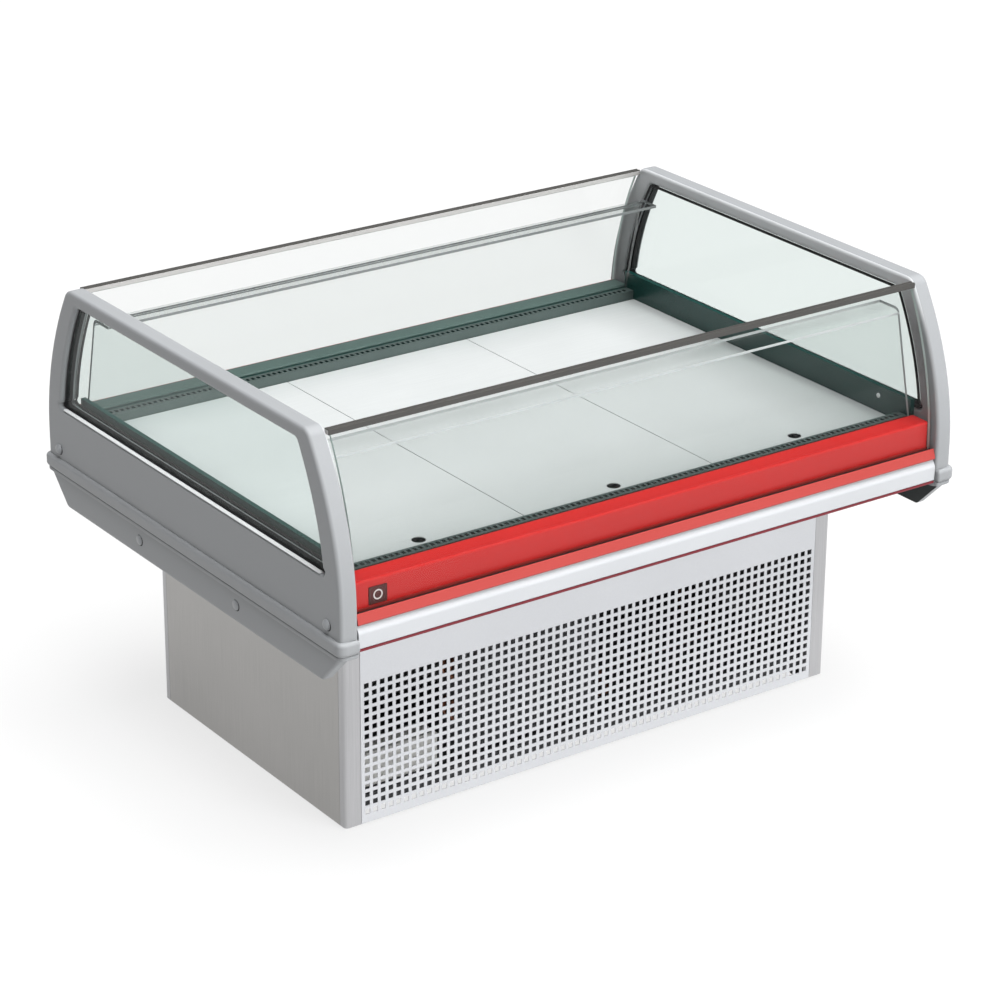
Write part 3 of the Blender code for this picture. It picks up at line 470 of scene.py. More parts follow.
def fin_tree():
    """A node tree for a stack of thin upright fins, evenly spaced along X."""
    tree, given = started_tree("fin_row", Fins="Int", Gap="Vector", Fin_Size="Vector", Start="Vector")
    line = wired(
        tree, "GeometryNodeMeshLine", Count=given["Fins"], Start_Location=given["Start"], Offset=given["Gap"]
    )
    fin = wired(tree, "GeometryNodeMeshCube", Size=given["Fin Size"])
    copies = wired(tree, "GeometryNodeInstanceOnPoints", Points=line.outputs["Mesh"], Instance=fin.outputs["Mesh"])
    return painted(tree, given, copies.outputs["Instances"])


def piped(name, routes, radius):
    """Round tubes through the given corners, as one piece."""
    curve = bpy.data.curves.new(name, "CURVE")
    curve.dimensions = "3D"
    curve.bevel_depth = radius
    curve.bevel_resolution = 3
    curve.use_fill_caps = True
    for route in routes:
        spline = curve.splines.new("POLY")
        spline.points.add(len(route) - 1)
        for point, where in zip(spline.points, route):
            point.co = (*where, 1.0)
    drawn = bpy.data.objects.new(name + "_line", curve)
    bpy.context.scene.collection.objects.link(drawn)
    bpy.context.view_layer.update()
    mesh = bpy.data.meshes.new_from_object(drawn.evaluated_get(bpy.context.evaluated_depsgraph_get()))
    bpy.data.objects.remove(drawn)
    mesh.name = name
    return shown(name, mesh)


def serpentine(left, right, y, z_low, z_step, passes):
    """A tube that runs to and fro through a coil, with a half-round bend at the end of each pass."""
    route = []
    for number in range(passes):
        z = z_low + number * z_step
        ends = (left, right) if number % 2 == 0 else (right, left)
        route += [(ends[0], y, z), (ends[1], y, z)]
        if number < passes - 1:
            bend = z_step / 2 if ends[1] > ends[0] else -z_step / 2
            for step in range(1, 8):
                angle = math.pi * step / 8
                route.append((ends[1] + bend * math.sin(angle), y, z + (1 - math.cos(angle)) * z_step / 2))
    return route


FINS = fin_tree()
for coil, fin_gap, end_plate, tube_rows, passes, tube_radius in (
    ("condenser", 0.0030, 0.027, (0.35, 0.70), 6, 0.0048),
    ("evaporator", 0.0050, 0.004, (0.2, 0.5, 0.8), 3, 0.0050),
):
    low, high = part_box(coil)
    left, right = low.x + end_plate, high.x - COIL_EDGE
    depth, height = high.y - low.y - 2 * COIL_EDGE, high.z - low.z - 0.010
    middle = (low + high) / 2
    stack = grown(
        coil + "_fins", FINS, Fins=int((right - left) / fin_gap), Gap=(fin_gap, 0.0, 0.0),
        Fin_Size=(FIN, depth, height), Start=(left + fin_gap / 2, middle.y, middle.z), Finish=fin_metal,
    )
    fit(stack, fin_metal, "case", "fin_stack", coil)
    step = height / (passes + 0.6)
    run = (left + FIRST_BEND, right - LAST_BEND)
    rows = [
        serpentine(*run, low.y + share * (high.y - low.y), low.z + 0.8 * step, step, passes) for share in tube_rows
    ]
    fit(piped(coil + "_tubes", rows, tube_radius), copper, "case", "copper_tube")

# ------------------------------------------------------------ controls and cable inlet
# A small dark bezel in the right side panel holds the mains rocker, a three-digit display and its
# keys. The supply cable enters below through a moulded gland.
key_moulding = finish("key_moulding", (0.58, 0.58, 0.57), (0.50, 0.50, 0.49), 1500.0, (0.45, 0.60))
dress(dark_moulding, "control_panel", "cable_gland")
dress(key_moulding, "control_key_set", "control_key_up", "control_key_down")
dress(pad_rubber, "mains_switch")

display_glass = finish("display_glass", (0.020, 0.010, 0.010), (0.012, 0.006, 0.006), 300.0, (0.06, 0.12), coat=1.0)
digit_glow = finish("digit_glow", (0.85, 0.06, 0.02), (0.70, 0.03, 0.01), 900.0, (0.30, 0.40))
digit_tree = digit_glow.node_tree
wired(
    digit_tree, digit_tree.nodes["Principled BSDF"], Emission_Color=(1.0, 0.08, 0.02, 1.0), Emission_Strength=0.8
)


def bars(name, boxes):
    """Small plain blocks, given by their low and high corners, as one piece."""
    bm = bmesh.new()
    for low_corner, high_corner in boxes:
        size = Vector(high_corner) - Vector(low_corner)
        centre = (Vector(high_corner) + Vector(low_corner)) / 2
        bmesh.ops.create_cube(bm, size=1.0, matrix=Matrix.Translation(centre) @ Matrix.Diagonal((*size, 1.0)))
    mesh = bpy.data.meshes.new(name)
    bm.to_mesh(mesh)
    bm.free()
    return shown(name, mesh)


WINDOW_WIDTH, WINDOW_HEIGHT = 0.052, 0.022
DIGIT_PITCH, DIGIT_WIDTH, DIGIT_RISE = 0.0145, 0.0076, 0.0066
STROKE_HALF, STROKE_GAP = 0.0006, 0.0011
# the two ends of each stroke, in digit widths from the left and in rises from the middle
SEGMENTS = {
    "a": (0, 1, 1, 1), "b": (1, 1, 1, 0), "c": (1, 0, 1, -1), "d": (0, -1, 1, -1), "e": (0, 0, 0, -1),
    "f": (0, 1, 0, 0), "g": (0, 0, 1, 0),
}
low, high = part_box("control_panel")
window_y, window_z = (low.y + high.y) / 2 + 0.038, (low.z + high.z) / 2 + 0.010
y0, y1 = window_y - WINDOW_WIDTH / 2, window_y + WINDOW_WIDTH / 2
z0, z1 = window_z - WINDOW_HEIGHT / 2, window_z + WINDOW_HEIGHT / 2
window = filleted([(y0, z0), (y1, z0), (y1, z1), (y0, z1)], 0.002)
display = extruded("control_display", [window], high.x + 0.0002, high.x + 0.0012, rounding=0.0003)
fit(display, display_glass, "case", "dark_plastic")
strokes = []
for place, lit in ((-1, "g"), (0, "abcdg"), (1, "abcdef")):
    left_edge = window_y + place * DIGIT_PITCH - DIGIT_WIDTH / 2
    for segment in lit:
        a0, b0, a1, b1 = SEGMENTS[segment]
        y0, y1 = sorted((left_edge + a0 * DIGIT_WIDTH, left_edge + a1 * DIGIT_WIDTH))
        z0, z1 = sorted((window_z + b0 * DIGIT_RISE, window_z + b1 * DIGIT_RISE))
        pad_y, pad_z = (STROKE_HALF, -STROKE_GAP) if y0 == y1 else (-STROKE_GAP, STROKE_HALF)
        strokes.append(((high.x + 0.0013, y0 - pad_y, z0 - pad_z), (high.x + 0.0015, y1 + pad_y, z1 + pad_z)))
fit(bars("display_digits", strokes), digit_glow, "case", "dark_plastic")

# ------------------------------------------------------------ tank
# The foamed tub is lined with dark green enamelled steel and skinned in bare grey sheet outside. Its
# thin end walls show above the decks.
LINING_EDGE, LINING_FLOOR = 0.4195, 0.3945     # half width of the lining, and the height it starts at
BARE_SKIN = (0.42, 0.43, 0.44, 1.0)
green_enamel = finish(
    "green_enamel", (0.006, 0.050, 0.043), (0.004, 0.034, 0.029), 350.0, (0.24, 0.38), relief=0.00003, coat=0.15
)
tank_tree = green_enamel.node_tree
spot = parted(tank_tree, own_node(green_enamel, "TEX_COORD").outputs["Object"])
beyond = worked_out(tank_tree, "GREATER_THAN", worked_out(tank_tree, "ABSOLUTE", spot["Y"]), LINING_EDGE)
below = worked_out(tank_tree, "LESS_THAN", spot["Z"], LINING_FLOOR)
skin = tank_tree.nodes.new("ShaderNodeMix")
skin.data_type = "RGBA"
wired(
    tank_tree, skin, Factor=worked_out(tank_tree, "MAXIMUM", beyond, below),
    A=own_node(green_enamel, "VALTORGB").outputs["Color"], B=BARE_SKIN,
)
wired(tank_tree, tank_tree.nodes["Principled BSDF"], Base_Color=skin.outputs["Result"])
dress(green_enamel, "tank")

# ------------------------------------------------------------ fan baffle
# An upright baffle under the decks carries two small fans that draw air through the coil. It is
# galvanised: a grey zinc skin with crystals a few millimetres across.
zinc = finish(
    "zinc_coating", (0.52, 0.53, 0.54), (0.34, 0.35, 0.36), 160.0, (0.35, 0.55), metallic=0.8, relief=0.00005
)
zinc_tree = zinc.node_tree
crystals = wired(
    zinc_tree, "ShaderNodeTexVoronoi", Vector=own_node(zinc, "TEX_COORD").outputs["Object"], Scale=140.0
)
wired(zinc_tree, own_node(zinc, "MIX"), A=crystals.outputs["Color"])
dress(zinc, "fan_plate")
dress(dark_moulding, "evap_motor_left", "evap_motor_right", "evap_fan_left", "evap_fan_right")

# ------------------------------------------------------------ decks
# Three lift-out plates of fine brushed steel sheet make the floor of the well. They rest on the
# tank's ledges, and each has a finger hole near the front.
deck_steel = finish(
    "deck_steel", (0.66, 0.68, 0.68), (0.56, 0.58, 0.58), 1200.0, (0.28, 0.42),
    metallic=0.45, stretch=(0.01, 1.0, 1.0), broad=0.25,
)
dress(deck_steel, "deck_plate_left", "deck_plate_centre", "deck_plate_right")

# ------------------------------------------------------------ air strips
# Along the front and rear of the well a punched strip in dark enamel covers the air duct, and its
# inner edge is folded down behind the decks.
STRIP_COLUMNS, STRIP_PITCH, SLOT_WIDTH, SLOT_LENGTH = 104, 0.0110, 0.0062, 0.0100
STRIP_SHEET = 0.0012
strip_enamel = finish("strip_enamel", (0.095, 0.125, 0.118), (0.060, 0.082, 0.078), 600.0, (0.30, 0.45), metallic=0.3)


def folded(name, path, low, high, thickness, axis="X"):
    """A sheet bent to an open path in section and carried from low to high; its corners come rounded."""
    bm = bmesh.new()
    for end in (low, high):
        for a, b in path:
            bm.verts.new((end, a, b) if axis == "X" else (a, b, end))
    bm.verts.ensure_lookup_table()
    count = len(path)
    for index in range(count - 1):
        bm.faces.new([bm.verts[i] for i in (index, index + 1, count + index + 1, count + index)])
    mesh = bpy.data.meshes.new(name)
    bm.to_mesh(mesh)
    bm.free()
    return thickened(shown(name, mesh), thickness)


for strip, sy in (("air_grille_front", -1), ("air_grille_rear", 1)):
    low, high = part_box(strip)
    inner, outer = sorted((abs(low.y), abs(high.y)))
    top = grown(
        strip + "_top", PUNCHED, Columns=STRIP_COLUMNS, Rows=1, Pitch=STRIP_PITCH, Hole_Width=SLOT_WIDTH,
        Hole_Height=SLOT_LENGTH, Width=high.x - low.x, Height=outer - inner, Rise=-sy * 0.001, Fold=0.0,
        Finish=strip_enamel,
    )
    laid = Matrix.Translation((0.0, sy * (inner + outer) / 2, high.z - STRIP_SHEET / 2))
    top.data.transform(laid @ Matrix.Rotation(-math.pi / 2, 4, "X"))
    fit(thickened(top, STRIP_SHEET), strip_enamel, "case", "air_grid", strip)
    leg_y = sy * (inner + STRIP_SHEET / 2)
    leg = folded(strip + "_leg", [(leg_y, high.z - 0.0014), (leg_y, low.z)], low.x, high.x, STRIP_SHEET)
    fit(leg, strip_enamel, "case", "air_grid")

# ------------------------------------------------------------ end panels
# Each end is one deep grey moulding with a fine stipple: two posts lean inwards as they rise to a top
# bar, a sill closes the window, a stepped band wraps round, and below it hangs a hollow skirt.
BELLY, LEAN, LEAN_START = 0.4685, 1.12, 0.483
END_FACES, END_EDGE = (0.592, 0.625), 0.0065
SKIRT_INNER, HOLLOW_TOP = 0.607, 0.4085
# bottom, top, reach beyond the panel and edge rounding of the two steps of the band
BAND_STEPS = ((0.4105, 0.4180, 0.0045, 0.0020), (0.4175, 0.4415, 0.0075, 0.0065))
BAND_CORNER = 0.016
WINDOW_BELLY, WINDOW_FOOT, WINDOW_TOP = 0.4225, 0.537, 0.741


def leaning(belly, lean, height):
    """How far from the middle a post or a pane stands at this height."""
    return belly - lean * max(0.0, height - LEAN_START) ** 2


def leaning_side(belly, lean, start, join_height, top, steps=16, corner_steps=10):
    """Points up one leaning side and round its top corner."""
    points = []
    for step in range(steps + 1):
        height = start + (join_height - start) * step / steps
        points.append((leaning(belly, lean, height), height))
    along = Vector((1.0, 2 * lean * (join_height - LEAN_START))).normalized()
    last = Vector(points[-1])
    radius = (top - last.y) / (1 - along.y)
    centre = last - along * radius
    first_angle = math.atan2(along.y, along.x)
    for step in range(1, corner_steps + 1):
        angle = first_angle + (math.pi / 2 - first_angle) * step / corner_steps
        points.append((centre.x + radius * math.cos(angle), centre.y + radius * math.sin(angle)))
    return points


def mirrored(points):
    """The same line carried on over its other half."""
    return points + [(-a, b) for a, b in reversed(points)]


def window_outline(inset):
    """The window opening, or a line inset from it: flat below, leaning sides, rounded above."""
    width, foot = WINDOW_BELLY - inset, WINDOW_FOOT + inset
    corner = filleted([(0.0, foot), (width, foot, 0.008), (width, WINDOW_FOOT + 0.1)], 0.0, 5, False)
    side = leaning_side(width, LEAN, foot + 0.012, 0.735 - inset, WINDOW_TOP - inset)
    return mirrored(corner[1:-1] + side)


stippled_grey = finish(
    "stippled_grey", (0.230, 0.238, 0.246), (0.202, 0.209, 0.216), 1500.0, (0.40, 0.52), relief=0.00010, broad=0.3
)
# the inner faces take a paler grey than the outside as painted light, and grow paler with height, where they catch
# more light
PALING_HEIGHTS, PALING_SHARES = (0.67, 0.75), (0.56, 1.0)
inner_grey = finish(
    "inner_grey", (0.42, 0.43, 0.44), (0.38, 0.39, 0.40), 1500.0, (0.40, 0.52), relief=0.00010, broad=0.3
)
inner_tree = inner_grey.node_tree
paling = inner_tree.nodes.new("ShaderNodeMapRange")
paling.interpolation_type = "SMOOTHSTEP"
wired(
    inner_tree, paling, Value=parted(inner_tree, own_node(inner_grey, "TEX_COORD").outputs["Object"])["Z"],
    From_Min=PALING_HEIGHTS[0], From_Max=PALING_HEIGHTS[1], To_Min=PALING_SHARES[0], To_Max=PALING_SHARES[1],
)
toned = inner_tree.nodes.new("ShaderNodeMix")
toned.data_type = "RGBA"
toned.blend_type = "MULTIPLY"
wired(
    inner_tree, toned, Factor=1.0, A=own_node(inner_grey, "VALTORGB").outputs["Color"], B=paling.outputs["Result"]
)
wired(inner_tree, inner_tree.nodes["Principled BSDF"], Base_Color=toned.outputs["Result"])
# painted shade: the inside of the hollow skirt is coloured near black, for the shade in the cavity
hollow_black = finish("hollow_black", (0.035, 0.040, 0.040), (0.022, 0.026, 0.026), 1500.0, (0.60, 0.80))
panel_foot = filleted([(0.30, 0.355), (0.4110, 0.355), (0.4685, 0.4130), (0.4685, 0.60)], 0.012, 6, False)[1:-1]
end_outline = mirrored(panel_foot + leaning_side(BELLY, LEAN, 0.445, 0.753, 0.765))
for end, sx in (("left", -1), ("right", 1)):
    a, b = sorted(sx * face for face in END_FACES)
    moulding = extruded(f"end_moulding_{end}", [end_outline, window_outline(0.0)], a, b, rounding=END_EDGE)
    back, front = sorted((sx * (END_FACES[0] - 0.010), sx * SKIRT_INNER))
    hollow = bars(f"end_hollow_{end}", [((back, -0.5, 0.30), (front, 0.5, HOLLOW_TOP))])
    opened = moulding.modifiers.new("hollow", "BOOLEAN")
    opened.object = hollow
    opened.solver = "EXACT"
    plain(moulding)
    bpy.data.objects.remove(hollow)
    moulding.data.materials.clear()
    moulding.data.materials.append(stippled_grey)
    moulding.data.materials.append(hollow_black)
    moulding.data.materials.append(inner_grey)
    for face in moulding.data.polygons:
        at = face.center
        # faces inside the hollow skirt take the near-black painted shade
        inside = abs(at.x) < SKIRT_INNER + 0.0005 and at.z < HOLLOW_TOP + 0.0005
        # inward faces above the deck take the paler grey: painted light
        inward = face.normal.x * sx < -0.2 and at.z > 0.5
        face.material_index = 1 if inside else 2 if inward else 0
    fit(moulding, None, "case", "moulded_grey", "end_panel_" + end)
    for number, (bottom, top, reach, rounding) in enumerate(BAND_STEPS):
        x0, x1, y1 = END_FACES[0] + 0.001, END_FACES[1] + reach, BELLY + reach
        corners = [(x0, y1 - 0.01), (x0, y1, 0.006), (x1, y1, BAND_CORNER), (x1, 0.0)]
        half_band = filleted(corners, 0.0, 10, False)[1:-1]
        outline = [(sx * p, q) for p, q in half_band] + [(sx * p, -q) for p, q in reversed(half_band)]
        band = extruded(f"end_band_{end}_{number}", [outline], bottom, top, "Z", rounding=rounding)
        fit(band, stippled_grey, "case", "moulded_grey")

# ------------------------------------------------------------ cover caps
# Domed grey caps by the posts hide the screws that hold each end panel to the tank, and flatter ones
# close the holes in the skirt; a dark disc set down and to one side behind each is painted shadow.
# A white plug of the same kind closes the probe hole in the right end wall of the well.
CAP_RADIUS, CAP_SHADOW_SHIFT, SHADOW_RISE = 0.0092, (-0.0022, -0.0009), 0.0006
# where the caps of each kind sit, as y and z, and how far they stand out
CAPS = {
    "post": (((0.430, 0.459), (-0.430, 0.459)), 0.0060),
    "skirt": (((0.156, 0.3870), (-0.156, 0.3870)), 0.0030),
}


def cap_tree():
    """A node tree that sets a flattened dome on each point of its mesh."""
    tree, given = started_tree("cover_caps", Geometry="Geometry", Radius="Float", Shape="Vector")
    dome = wired(tree, "GeometryNodeMeshUVSphere", Segments=28, Rings=14, Radius=given["Radius"])
    flat = wired(tree, "GeometryNodeTransform", Geometry=dome.outputs["Mesh"], Scale=given["Shape"])
    copies = wired(
        tree, "GeometryNodeInstanceOnPoints", Points=given["Geometry"], Instance=flat.outputs["Geometry"]
    )
    return painted(tree, given, copies.outputs["Instances"])


CAP_TREE = cap_tree()
cap_grey = finish("cap_grey", (0.25, 0.26, 0.27), (0.22, 0.23, 0.24), 1500.0, (0.28, 0.40))
gap_black = finish("gap_black", (0.020, 0.020, 0.021), (0.012, 0.012, 0.013), 900.0, (0.60, 0.80))
for end, sx in (("left", -1), ("right", 1)):
    for place, (centres, rise) in CAPS.items():
        points = [(sx * END_FACES[1], y, z) for y, z in centres]
        caps = grown(
            f"{place}_caps_{end}", CAP_TREE, points,
            Radius=CAP_RADIUS, Shape=(rise / CAP_RADIUS, 1, 1), Finish=cap_grey,
        )
        fit(caps, cap_grey, "case", "moulded_grey")
        # each dark disc is a painted shadow, shifted down and to one side of its cap
        points = [(x, y + CAP_SHADOW_SHIFT[0], z + CAP_SHADOW_SHIFT[1]) for x, y, z in points]
        painted_shadows = grown(
            f"{place}_gaps_{end}", CAP_TREE, points,
            Radius=CAP_RADIUS, Shape=(SHADOW_RISE / CAP_RADIUS, 1, 1), Finish=gap_black,
        )
        fit(painted_shadows, gap_black, "case", "moulded_grey")

PROBE_AT, PROBE_RADIUS = (0.5822, -0.324, 0.535), 0.0044
probe_white = finish("probe_white", (0.72, 0.73, 0.73), (0.64, 0.65, 0.65), 1200.0, (0.35, 0.50))
probe = grown("probe_plug", CAP_TREE, [PROBE_AT], Radius=PROBE_RADIUS, Shape=(0.5, 1, 1), Finish=probe_white)
fit(probe, probe_white, "case", "pale_plastic")

# ------------------------------------------------------------ end windows
# Each window is one pane of pale green safety glass in a thin black rubber gasket, with a black bead
# on the inner side. A pale strip along the sill in front of it is a painted highlight of the sill's edge.
GASKET_WIDTH, BEAD_WIDTH = 0.004, 0.0050
SILL_HALF, SILL_HEIGHTS = 0.4100, (0.5366, 0.5382)
# inner and outer face of each piece, from the middle of the case
SEAL_DEPTH, BEAD_DEPTH = (0.603, 0.6165), (0.5924, 0.5956)
PANE_DEPTH, SILL_DEPTH = (0.6093, 0.6148), (0.6168, 0.6246)


def glass(name, tint, smudge=0.03):
    """Clear glass: tinted light passes straight through, and the surface mirrors more at a low angle."""
    made = bpy.data.materials.new(name)
    made.use_nodes = True
    tree = made.node_tree
    tree.nodes.remove(tree.nodes["Principled BSDF"])
    through = wired(tree, "ShaderNodeBsdfTransparent", Color=(*tint, 1.0))
    where = wired(tree, "ShaderNodeTexCoord")
    haze = wired(tree, "ShaderNodeTexNoise", Vector=where.outputs["Object"], Scale=14.0, Detail=4.0)
    spread = wired(tree, "ShaderNodeMapRange", Value=haze.outputs["Fac"], To_Min=0.01, To_Max=smudge * 2)
    mirror = wired(tree, "ShaderNodeBsdfGlossy", Color=WHITE, Roughness=spread.outputs["Result"])
    angle = wired(tree, "ShaderNodeLayerWeight", Blend=0.5)
    steep = worked_out(tree, "POWER", angle.outputs["Facing"], 5.0)
    share = wired(tree, "ShaderNodeMapRange", Value=steep, To_Min=0.006, To_Max=0.60)
    mix = wired(tree, "ShaderNodeMixShader", Fac=share.outputs["Result"])
    tree.links.new(through.outputs["BSDF"], mix.inputs[1])
    tree.links.new(mirror.outputs["BSDF"], mix.inputs[2])
    wired(tree, tree.nodes["Material Output"], Surface=mix.outputs["Shader"])
    return made


soft_black = finish("glazing_rubber", (0.010, 0.010, 0.0105), (0.005, 0.005, 0.0055), 900.0, (0.65, 0.85))
window_glass = glass("green_window_glass", (0.866, 0.898, 0.888))
# painted highlight: a pale finish for the strip that stands in for the lit edge of the sill
sill_trim = finish("sill_trim", (0.56, 0.565, 0.57), (0.50, 0.505, 0.51), 900.0, (0.28, 0.38), relief=0.00003)
for end, sx in (("left", -1), ("right", 1)):
    a, b = sorted(sx * x for x in SEAL_DEPTH)
    loops = [window_outline(0.0006), window_outline(GASKET_WIDTH)]
    gasket = extruded(f"window_seal_{end}", loops, a, b, rounding=0.0010)
    fit(gasket, soft_black, "case", "black_rubber", "window_gasket_" + end)
    a, b = sorted(sx * x for x in BEAD_DEPTH)
    loops = [window_outline(0.0003), window_outline(BEAD_WIDTH)]
    bead = extruded(f"window_bead_{end}", loops, a, b, rounding=0.0008)
    fit(bead, soft_black, "case", "black_rubber")
    a, b = sorted(sx * x for x in PANE_DEPTH)
    pane = extruded(f"window_pane_{end}", [window_outline(GASKET_WIDTH + 0.0008)], a, b, rounding=0.0004)
    fit(pane, window_glass, "case", "clear_glass", "side_glass_" + end)
    a, b = sorted(sx * x for x in SILL_DEPTH)
    strip = filleted([(a, -SILL_HALF), (b, -SILL_HALF), (b, SILL_HALF), (a, SILL_HALF)], 0.0035, 6)
    trim = extruded(f"sill_trim_{end}", [strip], *SILL_HEIGHTS, "Z", rounding=0.0005)
    fit(trim, sill_trim, "case", "moulded_grey")

# ------------------------------------------------------------ fascias
# A red sheet covers the tank wall front and rear: a flat ledge on top, then folded down behind the
# foot of the glass. The rear ledge is dark like the lining.
RUN = 0.5865     # half length between the end panels
red_enamel = finish(
    "red_enamel", (0.44, 0.013, 0.012), (0.38, 0.010, 0.009), 700.0, (0.34, 0.44), relief=0.00004, broad=0.3
)
dark_ledge = finish("dark_ledge", (0.085, 0.125, 0.115), (0.060, 0.092, 0.085), 700.0, (0.28, 0.40), relief=0.00004)
FASCIA_SHEET, LEDGE_EDGE = 0.0016, 0.4440
# the line starts at the bend of the inner edge, which is rolled over
fascia_line = filleted([(0.4075, 0.5180), (0.4075, 0.5247), (0.4470, 0.5247), (0.4472, 0.4793)], 0.0030, 6, False)[1:]
for side, sy in (("front", -1), ("rear", 1)):
    sheet = folded(f"red_fascia_{side}", [(sy * a, b) for a, b in fascia_line], -RUN, RUN, FASCIA_SHEET)
    sheet.data.materials.clear()
    sheet.data.materials.append(red_enamel)
    sheet.data.materials.append(dark_ledge)
    for face in sheet.data.polygons:
        face.material_index = 1 if sy > 0 and face.center.y < LEDGE_EDGE else 0
    fit(sheet, None, "case", "red_paint", "fascia_" + side)

# ------------------------------------------------------------ glass channels
# Under each pane runs a red extrusion with a groove for the glass. Its front lip slopes back to a
# black glazing seal that shows as a dark line.
LONG_RUN = 0.5914     # half length up to the end panels' inner faces
lip_enamel = finish(
    "lip_enamel", (0.29, 0.036, 0.031), (0.26, 0.030, 0.026), 700.0, (0.34, 0.44), relief=0.00003, broad=0.3
)
channel_outline = filleted(
    [(0.4408, 0.4608, 0), (0.4660, 0.4608), (0.4668, 0.4630), (0.4615, 0.4782), (0.4596, 0.4790), (0.4592, 0.4695, 0),
     (0.4484, 0.4695, 0), (0.4484, 0.4790, 0), (0.4408, 0.4790, 0)], 0.0007, 4,
)
seal_outline = filleted([(0.4556, 0.4700), (0.4588, 0.4700), (0.4590, 0.4789), (0.4560, 0.4795)], 0.0006, 4)
for side, sy in (("front", -1), ("rear", 1)):
    channel = extruded(f"red_channel_{side}", [[(sy * a, b) for a, b in channel_outline]], -LONG_RUN, LONG_RUN)
    fit(channel, lip_enamel, "case", "red_paint", "glass_channel_" + side, sharp=30)
    seal = extruded(f"glazing_seal_{side}", [[(sy * a, b) for a, b in seal_outline]], -RUN, RUN)
    fit(seal, soft_black, "case", "black_rubber")

# ------------------------------------------------------------ bumpers
# A light grey bumper profile clips on below the channel, and a dark red piping strip closes its
# lower edge.
bumper_grey = finish("bumper_grey", (0.39, 0.40, 0.415), (0.35, 0.36, 0.375), 800.0, (0.32, 0.44), relief=0.00004)
piping_red = finish("piping_red", (0.150, 0.006, 0.014), (0.110, 0.004, 0.010), 900.0, (0.40, 0.55))
bumper_outline = filleted(
    [(0.4408, 0.4212, 0), (0.4672, 0.4212, 0.003), (0.4675, 0.4480, 0.012), (0.4600, 0.4604, 0.005),
     (0.4408, 0.4604, 0)], 0.0, 8,
)
piping_outline = filleted([(0.4408, 0.4162), (0.4660, 0.4162), (0.4668, 0.4209), (0.4408, 0.4209)], 0.0008, 4)
for side, sy in (("front", -1), ("rear", 1)):
    bumper = extruded(f"grey_bumper_{side}", [[(sy * a, b) for a, b in bumper_outline]], -LONG_RUN, LONG_RUN)
    fit(bumper, bumper_grey, "case", "grey_bumper", "bumper_" + side, sharp=40)
    piping = extruded(f"red_piping_{side}", [[(sy * a, b) for a, b in piping_outline]], -LONG_RUN, LONG_RUN)
    fit(piping, piping_red, "case", "red_paint")

# ------------------------------------------------------------ badge
# A small dark plate with a raised rim and a plain ring sits on the front fascia near its left end.
# It is a pressed metal plate, stuck on.
badge_plate = finish("badge_plate", (0.085, 0.022, 0.020), (0.055, 0.014, 0.013), 800.0, (0.30, 0.45), metallic=0.3)
badge_rim = finish("badge_rim", (0.60, 0.56, 0.55), (0.50, 0.46, 0.45), 900.0, (0.28, 0.38), metallic=0.3)
BADGE_AT, BADGE_FACE = (-0.5435, 0.4965), -0.4482     # middle as x and z, and the sheet it is stuck to
BADGE_WIDTH, BADGE_HEIGHT, RIM_WIDTH = 0.034, 0.030, 0.0008
RING_RADIUS, RING_WIDTH = 0.0085, 0.0022


def oblong(inset, corner):
    """The outline of the badge, or a line inset from it."""
    width, height = BADGE_WIDTH - 2 * inset, BADGE_HEIGHT - 2 * inset
    x0, x1 = BADGE_AT[0] - width / 2, BADGE_AT[0] + width / 2
    z0, z1 = BADGE_AT[1] - height / 2, BADGE_AT[1] + height / 2
    return filleted([(x0, z0), (x1, z0), (x1, z1), (x0, z1)], corner)


def round_loop(radius):
    """A circle about the middle of the badge."""
    turns = [math.tau * k / 32 for k in range(32)]
    return [(BADGE_AT[0] + radius * math.cos(turn), BADGE_AT[1] + radius * math.sin(turn)) for turn in turns]


def stood_up(piece, y):
    """Turns a plate made lying in X and Y so that it stands on the front face at this depth."""
    piece.data.transform(Matrix(((1, 0, 0, 0), (0, 0, -1, y), (0, 1, 0, 0), (0, 0, 0, 1))))
    return piece


plate = extruded("badge_plate", [oblong(0.0, 0.002)], 0.0, 0.0007, "Z", rounding=0.0002)
fit(stood_up(plate, BADGE_FACE), badge_plate, "case", "red_paint")
rim = extruded("badge_rim", [oblong(0.0, 0.002), oblong(RIM_WIDTH, 0.0014)], 0.0004, 0.0010, "Z")
fit(stood_up(rim, BADGE_FACE), badge_plate, "case", "red_paint")
ring_loops = [round_loop(RING_RADIUS), round_loop(RING_RADIUS - RING_WIDTH)]
ring = extruded("badge_ring", ring_loops, 0.0004, 0.0010, "Z")
fit(stood_up(ring, BADGE_FACE), badge_rim, "case", "red_paint")

# ------------------------------------------------------------ outer glass
# Front and rear, one curved pane of clear safety glass stands in the channel and leans in as it
# rises to the top rail. Its ground edges are pale green: the glass's own edge tint with painted highlight.
PANE_BELLY, PANE_LEAN, PANE = 0.4516, 0.92, 0.005
PANE_FOOT, PANE_TOP, PANE_STEPS, PANE_RUN = 0.4702, 0.749, 36, 0.587
pane_glass = glass("clear_pane_glass", (0.930, 0.936, 0.934))
edge_tint_and_highlight = finish("cut_glass_edge", (0.50, 0.60, 0.57), (0.38, 0.48, 0.45), 300.0, (0.12, 0.25), coat=0.6)


def edged(piece, edge_finish, across):
    """Gives the narrow cut edges of a pane a finish of their own, which carries painted light: the faces that look
    along it.
    """
    piece.data.materials.append(edge_finish)
    for face in piece.data.polygons:
        if across(face):
            face.material_index = 1
    return piece


def cut_ends(face):
    """The ends of a pane, and its top edge."""
    return abs(face.normal.x) > 0.9 or face.normal.z > 0.6 and face.area < 0.02


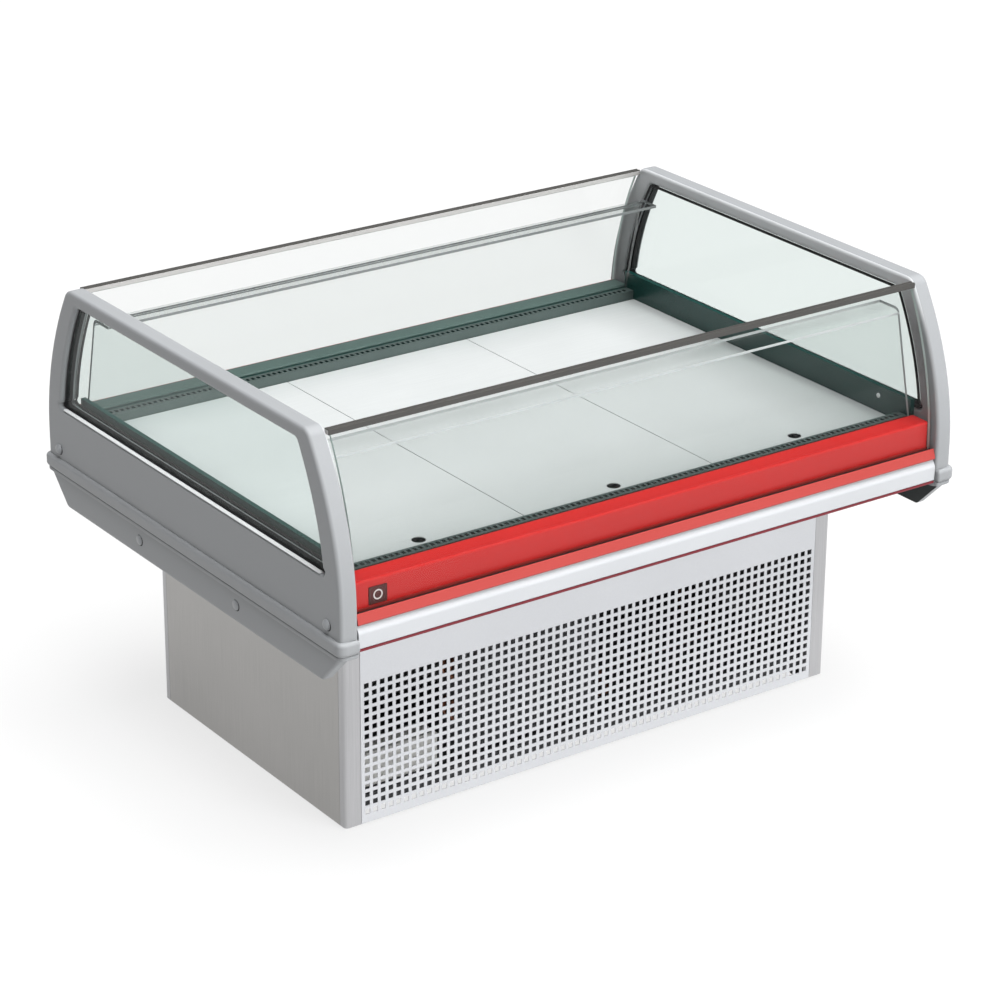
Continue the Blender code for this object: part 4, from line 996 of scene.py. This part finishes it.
for side, sy in (("front", -1), ("rear", 1)):
    heights = [PANE_FOOT + (PANE_TOP - PANE_FOOT) * step / PANE_STEPS for step in range(PANE_STEPS + 1)]
    path = [(sy * leaning(PANE_BELLY, PANE_LEAN, height), height) for height in heights]
    pane = folded(f"curved_pane_{side}", path, -PANE_RUN, PANE_RUN, PANE)
    fit(pane, pane_glass, "case", "clear_glass", "outer_glass_" + side, sharp=50)
    edged(pane, edge_tint_and_highlight, cut_ends)

# ------------------------------------------------------------ top rails
# Slim satin aluminium rails cap the panes from end to end. A dark brown cover with a shallow groove
# is pushed over the top and the outer side of each.
rail_anodised = finish(
    "rail_anodising", (0.50, 0.49, 0.48), (0.42, 0.41, 0.40), 1200.0, (0.28, 0.40),
    metallic=0.4, stretch=(0.01, 1.0, 1.0),
)
rail_cover = finish(
    "rail_cover", (0.050, 0.048, 0.045), (0.034, 0.033, 0.031), 900.0, (0.40, 0.55), stretch=(0.05, 1.0, 1.0)
)
rail_y = leaning(PANE_BELLY, PANE_LEAN, PANE_TOP) - 0.002
rail_outline = filleted([(-0.0060, 0.7505), (0.0045, 0.7505), (0.0045, 0.7585), (-0.0060, 0.7585)], 0.0008, 4)
cover_outline = filleted(
    [(-0.0058, 0.7580, 0), (0.0040, 0.7580, 0), (0.0040, 0.7508, 0), (0.0060, 0.7508, 0.0004),
     (0.0060, 0.7600, 0.0018), (0.0022, 0.7600, 0.0004), (0.0016, 0.7592, 0.0003), (-0.0016, 0.7592, 0.0003),
     (-0.0022, 0.7600, 0.0004), (-0.0058, 0.7600, 0.0008)], 0.0, 4,
)
for side, sy in (("front", -1), ("rear", 1)):
    rail = extruded(f"anodised_rail_{side}", [[(sy * (rail_y + a), b) for a, b in rail_outline]], -LONG_RUN, LONG_RUN)
    fit(rail, rail_anodised, "case", "bronze_anodised", "top_rail_" + side)
    cover = extruded(f"rail_cover_{side}", [[(sy * (rail_y + a), b) for a, b in cover_outline]], -LONG_RUN, LONG_RUN)
    fit(cover, rail_cover, "case", "bronze_anodised")

# ------------------------------------------------------------ inner guards
# A clear sheet stands on the ledge inside each pane and is bent over at the top into a shelf that
# keeps hands and breath off the goods.
guard_sheet = glass("clear_guard_sheet", (0.945, 0.955, 0.952))
painted_highlight_edge = finish("bright_guard_edge", (0.44, 0.46, 0.46), (0.38, 0.40, 0.40), 300.0, (0.15, 0.28), coat=0.4)
painted_shade_edge = finish("shaded_guard_edge", (0.16, 0.17, 0.17), (0.11, 0.12, 0.12), 300.0, (0.15, 0.28), coat=0.4)
GUARD_RUN = 0.582


def lip_and_ends(face):
    """The ends of a guard, and the edge of its shelf."""
    return abs(face.normal.x) > 0.9 or abs(face.normal.y) > 0.9 and face.area < 0.0065


guard_line = filleted([(0.4029, 0.5217), (0.3620, 0.7070), (0.3150, 0.7070)], 0.012, 10, False)
for side, sy in (("front", -1), ("rear", 1)):
    guard = folded(f"clear_guard_{side}", [(sy * a, b) for a, b in guard_line], -GUARD_RUN, GUARD_RUN, PANE)
    fit(guard, guard_sheet, "case", "clear_guard", "inner_guard_" + side, sharp=50)
    # one sheet: the front guard's pale edges are a painted highlight, the rear guard's dark edges painted shade
    lip_edge = painted_highlight_edge if sy < 0 else painted_shade_edge
    edged(guard, lip_edge, lip_and_ends)
